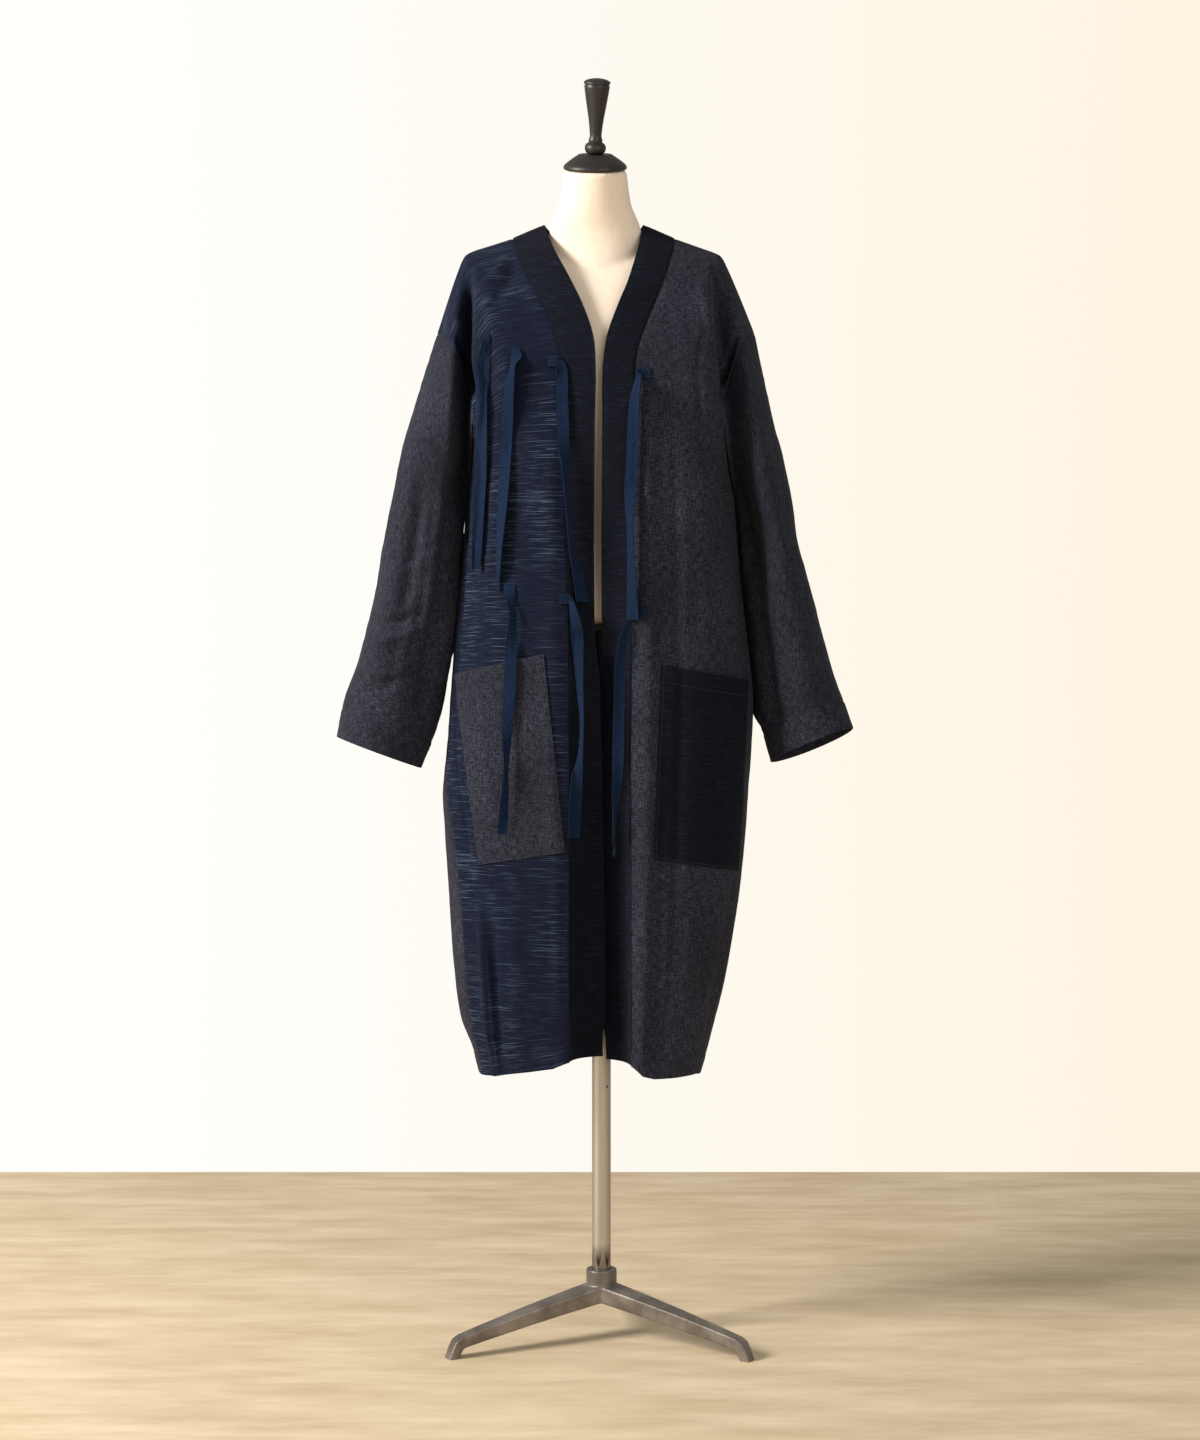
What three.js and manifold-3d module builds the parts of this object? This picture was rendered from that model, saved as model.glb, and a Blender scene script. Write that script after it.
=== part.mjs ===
// A long haori coat, worn on a limbless dress form that stands on a pole and a cast tripod.
// Millimetres, +Z up. The coat's front faces -Y, and its pieces are named for the wearer's side,
// so front_right lies at -X. Each piece that is cut and sewn is a thin wall of its own, made as a
// grid of outer points with an inner layer behind it. Neighbours share their seam points and are
// then drawn back from the seam, so that a narrow gap is left between them.
import * as THREE from 'three';
import { mergeVertices } from 'three/addons/utils/BufferGeometryUtils.js';
import Module from 'manifold-3d';

const wasm = await Module();
wasm.setup();

// ---- driving sizes ----
const HEM_Z = 365;
const UNDERARM_Z = 1150;
const NECK_POINT_Z = 1492;
const CLOTH = 1.6;
const BAND_CLOTH = 3;
const TAPE = 1.2;
const TAPE_WIDTH = 15;
const TAPE_HEAD = 16;
const SEAM_DRAW = 0.22;
const POCKET_OUT = 1.5;
const PIPE_RADIUS = 12.7;
const POLE_X = 2;
const FORM_X = -6.5;
const NECK_LEAN = THREE.MathUtils.degToRad(20);
const CLEAR = 0.35;
const ROWS_BELOW = 14;
const ROWS_ABOVE = 10;
const SLEEVE_STEPS = 11;
const SHOULDER_SHARE = 0.3;

// Columns of a front panel, from the side seam or armhole (0) to the band seam (1).
const FRONT_COLUMNS = [0, 0.06, 0.12, 0.19, 0.28, 0.39, 0.51, 0.63, 0.75, 0.86, 0.94, 1];
const NECK_COLUMNS = 6;
const BAND_COLUMNS = [0, 0.22, 0.45, 0.72, 1];

// Body sections below the underarm: the two sides, the back's depth, and the angle by which
// the back panel wraps forward round the wearer's right side.
const BODY = [
  { z: 365, left: -164, right: 136, back: 92, wrap: 0.36 },
  { z: 397, left: -173, right: 146, back: 96, wrap: 0.36 },
  { z: 430, left: -187, right: 155, back: 99, wrap: 0.36 },
  { z: 465, left: -194.5, right: 163, back: 101, wrap: 0.36 },
  { z: 520, left: -200, right: 174.5, back: 104, wrap: 0.36 },
  { z: 600, left: -205, right: 188, back: 107, wrap: 0.35 },
  { z: 690, left: -211, right: 197.5, back: 110, wrap: 0.28 },
  { z: 745, left: -213.5, right: 201, back: 111, wrap: 0.14 },
  { z: 800, left: -207.5, right: 205.5, back: 111, wrap: 0 },
  { z: 860, left: -203.5, right: 208, back: 110, wrap: 0 },
  { z: 920, left: -199.5, right: 203, back: 108, wrap: 0 },
  { z: 980, left: -194, right: 196, back: 107, wrap: 0 },
  { z: 1050, left: -187.5, right: 189, back: 106, wrap: 0 },
  { z: 1100, left: -184, right: 185, back: 106, wrap: 0 },
  { z: 1150, left: -181, right: 182, back: 107, wrap: 0 },
];

// Front edges: the seam of the neckband and the band's free edge, from the hem to the neck point.
const EDGES = [
  { z: 365, seamL: -40.5, seamR: 41, seamY: -106, edgeZ: 386, edgeL: 3.5, edgeR: 8.5, edgeY: -60 },
  { z: 430, seamL: -40.5, seamR: 40, seamY: -109, edgeZ: 437, edgeL: 2.5, edgeR: 7.5, edgeY: -64 },
  { z: 600, seamL: -40.5, seamR: 39.5, seamY: -113, edgeZ: 600, edgeL: 0, edgeR: 6, edgeY: -75 },
  { z: 750, seamL: -40.5, seamR: 39.5, seamY: -116, edgeZ: 750, edgeL: -2.5, edgeR: 4.5, edgeY: -85 },
  { z: 900, seamL: -41.5, seamR: 40.5, seamY: -119, edgeZ: 900, edgeL: -6, edgeR: 3, edgeY: -98 },
  { z: 1050, seamL: -43.5, seamR: 43, seamY: -122, edgeZ: 1050, edgeL: -7.8, edgeR: 1.8, edgeY: -114 },
  { z: 1150, seamL: -45, seamR: 44.5, seamY: -123, edgeZ: 1150, edgeL: -7.3, edgeR: 2.5, edgeY: -119 },
  { z: 1225, seamL: -46.5, seamR: 46, seamY: -121, edgeZ: 1222, edgeL: -6.8, edgeR: 3, edgeY: -120 },
  { z: 1309, seamL: -50, seamR: 47.5, seamY: -113, edgeZ: 1300, edgeL: -6, edgeR: 4, edgeY: -117 },
  { z: 1346, seamL: -60, seamR: 56.5, seamY: -103, edgeZ: 1341, edgeL: -9.2, edgeR: 9.5, edgeY: -110 },
  { z: 1380, seamL: -72, seamR: 70, seamY: -91, edgeZ: 1378, edgeL: -20.5, edgeR: 21.5, edgeY: -100 },
  { z: 1423, seamL: -94, seamR: 86, seamY: -71, edgeZ: 1418, edgeL: -38, edgeR: 37, edgeY: -85 },
  { z: 1462, seamL: -110, seamR: 97, seamY: -38, edgeZ: 1469, edgeL: -62, edgeR: 51, edgeY: -48 },
  { z: 1492, seamL: -119, seamR: 102, seamY: 0, edgeZ: 1510, edgeL: -76, edgeR: 59, edgeY: 0 },
];

// The neckband round the back of the neck, from the wearer's right neck point to the left one.
const BACK_NECK = [
  { at: 0, seamX: -119, seamY: 0, seamZ: 1492, edgeX: -76, edgeY: 0, edgeZ: 1510 },
  { at: 0.22, seamX: -101, seamY: 52, seamZ: 1474, edgeX: -63, edgeY: 42, edgeZ: 1509 },
  { at: 0.5, seamX: -8, seamY: 96, seamZ: 1475, edgeX: -8, edgeY: 73, edgeZ: 1514 },
  { at: 0.78, seamX: 85, seamY: 52, seamZ: 1474, edgeX: 47, edgeY: 42, edgeZ: 1509 },
  { at: 1, seamX: 102, seamY: 0, seamZ: 1492, edgeX: 59, edgeY: 0, edgeZ: 1510 },
];

// Shoulder lines, from the top of the armhole to the neck point.
const SHOULDERS = [
  { at: 0, rightX: -222, rightZ: 1362, leftX: 211, leftZ: 1362 },
  { at: 0.3, rightX: -211, rightZ: 1414, leftX: 200, leftZ: 1414 },
  { at: 0.48, rightX: -198, rightZ: 1450, leftX: 186, leftZ: 1448 },
  { at: 0.62, rightX: -180, rightZ: 1471, leftX: 167, leftZ: 1468 },
  { at: 0.8, rightX: -152, rightZ: 1482, leftX: 137, leftZ: 1480 },
  { at: 1, rightX: -119, rightZ: 1492, leftX: 102, leftZ: 1492 },
];

// Sleeve sections from the armhole (row 0) to the cuff: the overarm point, the underarm point,
// half the depth, how far the section lies forward, the rise of its front, how far the armhole is
// pinched shut at the underarm, and how far it is tucked in towards the body.
const SLEEVE_RIGHT = [
  { row: 0, overX: -222, overZ: 1362, underX: -181, underZ: 1150, deep: 80, y: 0, rise: 0, pinch: 1, tuck: 20 },
  { row: 1, overX: -250, overZ: 1270, underX: -187.5, underZ: 1110, deep: 76, y: -2, rise: 0, pinch: 0.4, tuck: 6 },
  { row: 2, overX: -272, overZ: 1180, underX: -191.5, underZ: 1050, deep: 68, y: -5, rise: 0, pinch: 0, tuck: 0 },
  { row: 3, overX: -290, overZ: 1085, underX: -196.5, underZ: 990, deep: 61, y: -9, rise: 1, pinch: 0, tuck: 0 },
  { row: 4, overX: -308, overZ: 1000, underX: -202.5, underZ: 930, deep: 53, y: -13, rise: 2, pinch: 0, tuck: 0 },
  { row: 5, overX: -328, overZ: 920, underX: -210, underZ: 870, deep: 48, y: -18, rise: 3, pinch: 0, tuck: 0 },
  { row: 6, overX: -347, overZ: 866, underX: -223, underZ: 822, deep: 45, y: -22, rise: 3, pinch: 0, tuck: 0 },
  { row: 7, overX: -357, overZ: 814, underX: -243, underZ: 772, deep: 43, y: -26, rise: 3, pinch: 0, tuck: 0 },
];
const SLEEVE_LEFT = [
  { row: 0, overX: 211, overZ: 1362, underX: 182, underZ: 1150, deep: 80, y: 0, rise: 0, pinch: 1, tuck: 20 },
  { row: 1, overX: 230, overZ: 1270, underX: 189, underZ: 1100, deep: 76, y: -2, rise: 0, pinch: 0.4, tuck: 6 },
  { row: 2, overX: 250, overZ: 1175, underX: 193.5, underZ: 1040, deep: 68, y: -5, rise: 0, pinch: 0, tuck: 0 },
  { row: 3, overX: 272, overZ: 1065, underX: 199.5, underZ: 980, deep: 61, y: -9, rise: 2, pinch: 0, tuck: 0 },
  { row: 4, overX: 295, overZ: 980, underX: 207, underZ: 910, deep: 53, y: -13, rise: 4, pinch: 0, tuck: 0 },
  { row: 5, overX: 317, overZ: 900, underX: 213.5, underZ: 850, deep: 48, y: -18, rise: 6, pinch: 0, tuck: 0 },
  { row: 6, overX: 332, overZ: 858, underX: 223.5, underZ: 812, deep: 45, y: -22, rise: 7, pinch: 0, tuck: 0 },
  { row: 7, overX: 343.5, overZ: 825, underX: 232.5, underZ: 781, deep: 43, y: -26, rise: 8, pinch: 0, tuck: 0 },
];

// Largest folds of the panels: the place across the panel, half the width there, the height
// (a trough is negative), and the levels between which the fold runs.
const FOLDS_FRONT_RIGHT = [
  { at: 0.12, wide: 0.055, high: -13, from: 1130, to: 1440 },
  { at: 0.36, wide: 0.05, high: -5, from: 1180, to: 1380 },
  { at: 0.3, wide: 0.05, high: 5, from: 350, to: 620 },
  { at: 0.42, wide: 0.05, high: -4, from: 350, to: 600 },
  { at: 0.94, wide: 0.04, high: 2.5, from: 420, to: 1200 },
];
const FOLDS_FRONT_LEFT = [
  { at: 0.12, wide: 0.055, high: -13, from: 1130, to: 1440 },
  { at: 0.94, wide: 0.045, high: 8, from: 350, to: 1290 },
  { at: 0.6, wide: 0.06, high: 3, from: 900, to: 1200 },
  { at: 0.66, wide: 0.06, high: 4, from: 350, to: 620 },
  { at: 0.3, wide: 0.07, high: -4, from: 400, to: 640 },
];
const FOLDS_BACK = [
  { at: 0.045, wide: 0.02, high: -11, from: 1130, to: 1430 },
  { at: 0.955, wide: 0.02, high: -11, from: 1130, to: 1430 },
  { at: 0.24, wide: 0.04, high: 7, from: 350, to: 1000 },
  { at: 0.36, wide: 0.035, high: -6, from: 350, to: 1120 },
  { at: 0.5, wide: 0.04, high: 6, from: 350, to: 900 },
  { at: 0.63, wide: 0.03, high: -6, from: 350, to: 1060 },
  { at: 0.77, wide: 0.045, high: 7, from: 350, to: 940 },
];
const FOLDS_SLEEVE = [
  { at: 0.3, wide: 0.08, high: 4, from: 0.8, to: 5.5 },
  { at: 0.62, wide: 0.07, high: -5, from: 1, to: 6 },
];
const PANEL_FADE = 60;
const SLEEVE_FADE = 1;

// Patch pockets by their corners on the front, as X and Z.
const POCKETS = [
  { name: 'pocket_right', side: -1, topOutX: -195, topOutZ: 898, topInX: -73, topInZ: 923,
    lowInX: -46.5, lowInZ: 664, lowOutX: -160, lowOutZ: 646 },
  { name: 'pocket_left', side: 1, topOutX: 198, topOutZ: 889, topInX: 80, topInZ: 909,
    lowInX: 69, lowInZ: 655, lowOutX: 184, lowOutZ: 637 },
];

// Cloth ties: where each starts, its length, how far its end and its middle hang aside, where
// its sewn-down head sits beside its start, where it twists to a narrow neck, and its end.
const TIES = [
  { x: -154, z: 1344, long: 308, lean: -8, bow: 2, head: 0, twist: 2, lift: 3, pointed: false },
  { x: -114, z: 1322, long: 315, lean: -21, bow: -2, head: 3, twist: 2, lift: 3, pointed: true },
  { x: -57, z: 1307, long: 316, lean: 31, bow: -2, head: -4, twist: 0.58, lift: 3, pointed: false },
  { x: 56, z: 1291, long: 322, lean: -14, bow: -10, head: 4, twist: 0.7, lift: 7, pointed: false },
  { x: -112, z: 1014, long: 326, lean: -15, bow: 2, head: 0, twist: 2, lift: 5, pointed: false },
  { x: -46, z: 997, long: 315, lean: 12, bow: 13, head: -4, twist: 2, lift: 4, pointed: false },
  { x: 54, z: 980, long: 321, lean: -37, bow: -15, head: 3, twist: 2, lift: 3, pointed: true },
];
const TIE_STEPS = 13;

// Dress form: rings up the torso and the neck, with half width, front and back depth.
const TORSO = [
  { z: 966, half: 146, front: 84, back: 82, y: 0, lean: 0 },
  { z: 978, half: 155, front: 90, back: 87, y: 0, lean: 0 },
  { z: 1040, half: 140, front: 90, back: 86, y: 0, lean: 0 },
  { z: 1110, half: 116, front: 86, back: 82, y: 0, lean: 0 },
  { z: 1200, half: 124, front: 97, back: 88, y: 0, lean: 0 },
  { z: 1290, half: 140, front: 104, back: 92, y: 0, lean: 0 },
  { z: 1345, half: 148, front: 96, back: 92, y: 0, lean: 0 },
  { z: 1400, half: 152, front: 78, back: 86, y: 0, lean: 0 },
  { z: 1440, half: 152, front: 50, back: 64, y: 0, lean: 0 },
  { z: 1462, half: 150, front: 29, back: 42, y: 0, lean: 0 },
  { z: 1474, half: 144, front: 16, back: 26, y: 0, lean: 0 },
  { z: 1481, half: 132, front: 8, back: 14, y: 0, lean: 0 },
  { z: 1486.4, half: 118, front: 4, back: 8, y: 0, lean: 0 },
  { z: 1489, half: 102, front: 1.5, back: 3, y: 0, lean: 0 },
];
const NECK = [
  { z: 1420, half: 56, front: 56, back: 62, y: 0, lean: 0 },
  { z: 1470, half: 63, front: 42, back: 54, y: 0, lean: 0 },
  { z: 1495, half: 62, front: 41, back: 48, y: -2, lean: 0.05 },
  { z: 1512, half: 58, front: 41, back: 45, y: -7, lean: 0.15 },
  { z: 1534, half: 49, front: 42, back: 43, y: -14, lean: 0.26 },
  { z: 1578, half: 42, front: 42, back: 42, y: -29.5, lean: 0.349 },
];
const TORSO_SIDES = 28;

// Tripod leg: stations outwards from the hub, with half height and half width.
const LEG = [
  { r: 4, z: 57, high: 12, wide: 19 },
  { r: 60, z: 53, high: 10.5, wide: 17 },
  { r: 120, z: 44.5, high: 9, wide: 14 },
  { r: 175, z: 35, high: 7.5, wide: 10.5 },
  { r: 203, z: 28.5, high: 7, wide: 8.5 },
  { r: 216, z: 20, high: 6.5, wide: 7.5 },
  { r: 220.5, z: 9, high: 6.5, wide: 7 },
  { r: 221, z: 0, high: 6.5, wide: 7 },
];
const LEG_AZIMUTHS = [-31.5, -151.5, 88.5];
const HUB = { foot: 42, floor: 58, shoulder: 68, top: 92, radius: 20, skirt: 24 };

// ---- tables and curves ----

/** Cubic through the rows of a table, with each row's slope taken from its neighbours. */
function valueAt(rows, by, column, at) {
  const last = rows.length - 1;
  let i = 0;
  while (i < last - 1 && at > rows[i + 1][by]) i += 1;
  const slope = (k) => {
    const a = rows[Math.max(k - 1, 0)];
    const b = rows[Math.min(k + 1, last)];
    return (b[column] - a[column]) / (b[by] - a[by]);
  };
  const span = rows[i + 1][by] - rows[i][by];
  const t = (at - rows[i][by]) / span;
  return hermite(rows[i][column], slope(i) * span, rows[i + 1][column], slope(i + 1) * span, t);
}

/** Cubic from a to b with the tangents ta and tb at its ends. */
function hermite(a, ta, b, tb, t) {
  const t2 = t * t;
  const t3 = t2 * t;
  return a * (2 * t3 - 3 * t2 + 1) + ta * (t3 - 2 * t2 + t) + b * (3 * t2 - 2 * t3) + tb * (t3 - t2);
}

const smooth = (t) => {
  const k = THREE.MathUtils.clamp(t, 0, 1);
  return k * k * (3 - 2 * k);
};

/** Height of all folds of a table at a place across the panel and a level along it. */
function foldHeight(folds, at, level, fade) {
  let height = 0;
  for (const fold of folds) {
    const across = Math.exp(-(((at - fold.at) / fold.wide) ** 2));
    const along = smooth((level - fold.from) / fade) * smooth((fold.to - level) / fade);
    height += fold.high * across * along;
  }
  return height;
}

// ---- the coat's surfaces ----

const FRONT_ROUND = 2 / 2.4;
const BACK_ROUND = 2 / 2.2;

/** Body section at a level: the turn runs from -PI/2 (right band seam) round the back to 3PI/2. */
function bodyPoint(turn, z) {
  const left = valueAt(BODY, 'z', 'left', z);
  const right = valueAt(BODY, 'z', 'right', z);
  if (turn >= 0 && turn <= Math.PI) {
    const reach = Math.sign(Math.cos(turn)) * Math.abs(Math.cos(turn)) ** BACK_ROUND;
    const x = (left + right) / 2 - (right - left) / 2 * reach;
    const y = valueAt(BODY, 'z', 'back', z) * Math.max(Math.sin(turn), 0) ** BACK_ROUND;
    return new THREE.Vector3(x, y, z);
  }
  const onRight = turn < 0;
  const t = onRight ? -turn : turn - Math.PI;
  const seamX = valueAt(EDGES, 'z', onRight ? 'seamL' : 'seamR', z);
  const sideX = onRight ? left : right;
  const x = seamX + (sideX - seamX) * Math.max(Math.cos(t), 0) ** FRONT_ROUND;
  const y = valueAt(EDGES, 'z', 'seamY', z) * Math.sin(t) ** FRONT_ROUND;
  return new THREE.Vector3(x, y, z);
}

/** Direction in which the body section moves upwards at the underarm level, per mm of height. */
function bodyRise(turn) {
  const top = bodyPoint(turn, UNDERARM_Z);
  return top.sub(bodyPoint(turn, UNDERARM_Z - 1));
}

/** Point of a sleeve: row along it, angle psi from the overarm (0) to the underarm (PI). */
function sleevePoint(table, row, psi, face) {
  const at = (column) => valueAt(table, 'row', column, row);
  const lower = psi > Math.PI / 2;
  const pinch = at('pinch');
  const open = Math.cos(psi);
  const shut = lower ? -(psi - Math.PI / 2) / (Math.PI / 2) : open;
  const reach = THREE.MathUtils.lerp(open, shut, pinch);
  const sine = Math.max(Math.sin(psi), 0);
  const depth = lower ? sine ** (1 + 0.5 * pinch) : sine;
  const inward = Math.sign(at('underX') - at('overX')) * at('tuck') * sine;
  const x = (at('overX') + at('underX')) / 2 + (at('overX') - at('underX')) / 2 * reach + inward;
  const z = (at('overZ') + at('underZ')) / 2 + (at('overZ') - at('underZ')) / 2 * reach;
  return new THREE.Vector3(x, at('y') * sine + face * at('deep') * depth, z - face * at('rise') * depth);
}

const armholePoint = (table, s, face) => sleevePoint(table, 0, Math.PI * (1 - s), face);

function shoulderPoint(side, at) {
  const name = side < 0 ? 'right' : 'left';
  return new THREE.Vector3(valueAt(SHOULDERS, 'at', `${name}X`, at), 0,
    valueAt(SHOULDERS, 'at', `${name}Z`, at));
}

function bandSeamPoint(side, z) {
  const x = valueAt(EDGES, 'z', side < 0 ? 'seamL' : 'seamR', z);
  return new THREE.Vector3(x, valueAt(EDGES, 'z', 'seamY', z), z);
}

const backNeckPoint = (line, at) => new THREE.Vector3(...['X', 'Y', 'Z'].map(
  (axis) => valueAt(BACK_NECK, 'at', line + axis, at)));

/** Tangent with which the centre of the back meets the neck seam. */
const SPINE_ARRIVES = new THREE.Vector3(0, -45, 300);

/** Point on a rising line from the body section to the top edge, leaving both along tangents. */
function risingPoint(foot, rise, top, arrive, s) {
  const lift = rise.clone().multiplyScalar(top.z - foot.z);
  const axes = ['x', 'y', 'z'].map((a) => hermite(foot[a], lift[a], top[a], arrive[a], s));
  return new THREE.Vector3(...axes);
}

/** Share of the armhole's shape in a patch, from the armhole (0) to the patch's far edge (1). */
const armholeShare = (u) => (1 - u) ** 2 * (1 + u);

/** Patch above the underarm, from the armhole to a far line, between its foot and its top edge. */
function patchPoint(u, s, armhole, far, footAt, topAt) {
  const share = armholeShare(u);
  const chord = (start, end) => end.clone().lerp(start, share);
  const footRise = footAt(u).sub(chord(footAt(0), footAt(1)));
  const topRise = topAt(u).sub(chord(topAt(0), topAt(1)));
  const up = smooth(s);
  const rollOver = 1 - Math.sqrt(1 - s * s);
  topRise.multiply(new THREE.Vector3(up, rollOver, up));
  return chord(armhole, far).addScaledVector(footRise, 1 - up).add(topRise);
}

/** Front panel: sections up to the underarm, then a patch between armhole, shoulder and band. */
function frontPoint(side, u, level) {
  const turnAt = (k, z) => {
    const wrap = side < 0 ? valueAt(BODY, 'z', 'wrap', z) : 0;
    const t = THREE.MathUtils.lerp(wrap, Math.PI / 2, k);
    return side < 0 ? -t : Math.PI + t;
  };
  if (level <= 1) {
    const z = THREE.MathUtils.lerp(HEM_Z, UNDERARM_Z, level);
    return u === 1 ? bandSeamPoint(side, z) : bodyPoint(turnAt(u, z), z);
  }
  const s = level - 1;
  const table = side < 0 ? SLEEVE_RIGHT : SLEEVE_LEFT;
  const seamZ = THREE.MathUtils.lerp(UNDERARM_Z, NECK_POINT_Z, s);
  return patchPoint(u, s, armholePoint(table, s, -1), bandSeamPoint(side, seamZ),
    (k) => bodyPoint(turnAt(k, UNDERARM_Z), UNDERARM_Z), (k) => shoulderPoint(side, k));
}

/** Top edge of the back: right shoulder, back neck seam, left shoulder. */
function backTopPoint(w) {
  if (w <= SHOULDER_SHARE) return shoulderPoint(-1, w / SHOULDER_SHARE);
  if (w >= 1 - SHOULDER_SHARE) return shoulderPoint(1, (1 - w) / SHOULDER_SHARE);
  return backNeckPoint('seam', (w - SHOULDER_SHARE) / (1 - 2 * SHOULDER_SHARE));
}

/** Back panel in one piece, from the right side seam (0) to the left one (1). */
function backPoint(w, level) {
  const turnAt = (k, z) => {
    const wrap = valueAt(BODY, 'z', 'wrap', z);
    return -wrap + (Math.PI + wrap) * k;
  };
  if (level <= 1) {
    const z = THREE.MathUtils.lerp(HEM_Z, UNDERARM_Z, level);
    return bodyPoint(turnAt(w, z), z);
  }
  const s = level - 1;
  const right = w <= 0.5;
  const place = (u) => (right ? u / 2 : 1 - u / 2);
  const footAt = (u) => bodyPoint(turnAt(place(u), UNDERARM_Z), UNDERARM_Z);
  const topAt = (u) => backTopPoint(place(u));
  const spine = risingPoint(footAt(1), bodyRise(Math.PI / 2), topAt(1), SPINE_ARRIVES, s);
  const table = right ? SLEEVE_RIGHT : SLEEVE_LEFT;
  return patchPoint(right ? 2 * w : 2 - 2 * w, s, armholePoint(table, s, 1), spine, footAt, topAt);
}

/** Neckband: from its seam (0) to its free edge (1); low down the band turns inward. */
function bandPoint(seam, edge, w) {
  const turned = Math.min(Math.abs(edge.y - seam.y) / 45, 1);
  const across = THREE.MathUtils.lerp(w, 1 - Math.cos(w * Math.PI / 2), turned);
  const back = THREE.MathUtils.lerp(w, Math.sin(w * Math.PI / 2), turned);
  return new THREE.Vector3(
    THREE.MathUtils.lerp(seam.x, edge.x, across),
    THREE.MathUtils.lerp(seam.y, edge.y, back),
    THREE.MathUtils.lerp(seam.z, edge.z, w),
  );
}

function bandEdgePoint(side, z) {
  const x = valueAt(EDGES, 'z', side < 0 ? 'edgeL' : 'edgeR', z);
  return new THREE.Vector3(x, valueAt(EDGES, 'z', 'edgeY', z), valueAt(EDGES, 'z', 'edgeZ', z));
}

// ---- grids of outer points ----

const LEVELS = [];
for (let i = 0; i < ROWS_BELOW; i += 1) LEVELS.push(i / ROWS_BELOW);
for (let i = 0; i <= ROWS_ABOVE; i += 1) LEVELS.push(1 + i / ROWS_ABOVE);
const levelHeight = (level) => (level <= 1 ? THREE.MathUtils.lerp(HEM_Z, UNDERARM_Z, level)
  : THREE.MathUtils.lerp(UNDERARM_Z, NECK_POINT_Z, level - 1));

function backColumns() {
  const right = FRONT_COLUMNS.map((u) => u * SHOULDER_SHARE);
  const neck = [];
  for (let i = 1; i < NECK_COLUMNS; i += 1) {
    neck.push(SHOULDER_SHARE + (1 - 2 * SHOULDER_SHARE) * i / NECK_COLUMNS);
  }
  const left = FRONT_COLUMNS.map((u) => 1 - u * SHOULDER_SHARE).reverse();
  return [...right, ...neck, ...left];
}

/** Normal of a grid at each point, from the differences to its neighbours. */
function gridNormals(grid) {
  const rows = grid.length;
  const columns = grid[0].length;
  const at = (i, j) => grid[THREE.MathUtils.clamp(i, 0, rows - 1)][THREE.MathUtils.clamp(j, 0, columns - 1)];
  return grid.map((row, i) => row.map((_, j) => {
    const along = at(i + 1, j).clone().sub(at(i - 1, j));
    const across = at(i, j + 1).clone().sub(at(i, j - 1));
    return across.cross(along).normalize();
  }));
}

/** Moves the inner points of a grid along their normals; the edges stay on their seams. */
function foldGrid(grid, outward, heightAt) {
  const normals = gridNormals(grid);
  return grid.map((row, i) => row.map((point, j) => {
    const onEdge = j === 0 || j === row.length - 1 || i === grid.length - 1;
    const height = onEdge ? 0 : heightAt(i, j);
    return point.clone().addScaledVector(normals[i][j], outward * height);
  }));
}

/** A piece of cloth: its grid, the sign that turns its normals outwards, and its sewn edges. */
const pieces = new Map();
function addPiece(name, grid, outward, sewn) {
  const normals = gridNormals(grid).map((row) => row.map((n) => n.multiplyScalar(outward)));
  pieces.set(name, { grid, normals, sewn });
}

const frontFolds = { '-1': FOLDS_FRONT_RIGHT, 1: FOLDS_FRONT_LEFT };
for (const side of [-1, 1]) {
  const flat = LEVELS.map((level) => FRONT_COLUMNS.map((u) => frontPoint(side, u, level)));
  const outward = side < 0 ? 1 : -1;
  const grid = foldGrid(flat, outward,
    (i, j) => foldHeight(frontFolds[side], FRONT_COLUMNS[j], levelHeight(LEVELS[i]), PANEL_FADE));
  addPiece(side < 0 ? 'front_right' : 'front_left', grid, outward, ['first', 'last', 'top']);
}

const BACK_COLUMNS = backColumns();
const backFlat = LEVELS.map((level) => BACK_COLUMNS.map((w) => backPoint(w, level)));
addPiece('back', foldGrid(backFlat, -1,
  (i, j) => foldHeight(FOLDS_BACK, BACK_COLUMNS[j], levelHeight(LEVELS[i]), PANEL_FADE)),
-1, ['first', 'last', 'top']);

function sleeveGrid(table, face, outward) {
  const rows = Array.from({ length: SLEEVE_STEPS + 1 }, (_, i) => 7 * i / SLEEVE_STEPS);
  const turns = Array.from({ length: ROWS_ABOVE + 1 }, (_, j) => Math.PI * j / ROWS_ABOVE);
  const flat = rows.map((row) => turns.map((psi) => sleevePoint(table, row, psi, face)));
  return foldGrid(flat, outward, (i, j) => (i === 0 ? 0
    : foldHeight(FOLDS_SLEEVE, j / ROWS_ABOVE, rows[i], SLEEVE_FADE)));
}

for (const [name, table, side] of [['sleeve_right', SLEEVE_RIGHT, -1], ['sleeve_left', SLEEVE_LEFT, 1]]) {
  for (const [part, face] of [['front', -1], ['back', 1]]) {
    const outward = -side * face;
    addPiece(`${name}_${part}`, sleeveGrid(table, face, outward), outward, ['first', 'last', 'bottom']);
  }
}

/** The band is one strip: up the wearer's right front, round the neck and down the left front. */
function bandLines() {
  const lines = [];
  for (const level of LEVELS) {
    const z = levelHeight(level);
    lines.push({ seam: bandSeamPoint(-1, z), edge: bandEdgePoint(-1, z) });
  }
  for (let i = 1; i < NECK_COLUMNS; i += 1) {
    const at = i / NECK_COLUMNS;
    lines.push({ seam: backNeckPoint('seam', at), edge: backNeckPoint('edge', at) });
  }
  for (const level of [...LEVELS].reverse()) {
    const z = levelHeight(level);
    lines.push({ seam: bandSeamPoint(1, z), edge: bandEdgePoint(1, z) });
  }
  return lines;
}
addPiece('neckband', bandLines().map(({ seam, edge }) => BAND_COLUMNS.map((w) => bandPoint(seam, edge, w))),
  1, ['first']);

// ---- walls ----

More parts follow.
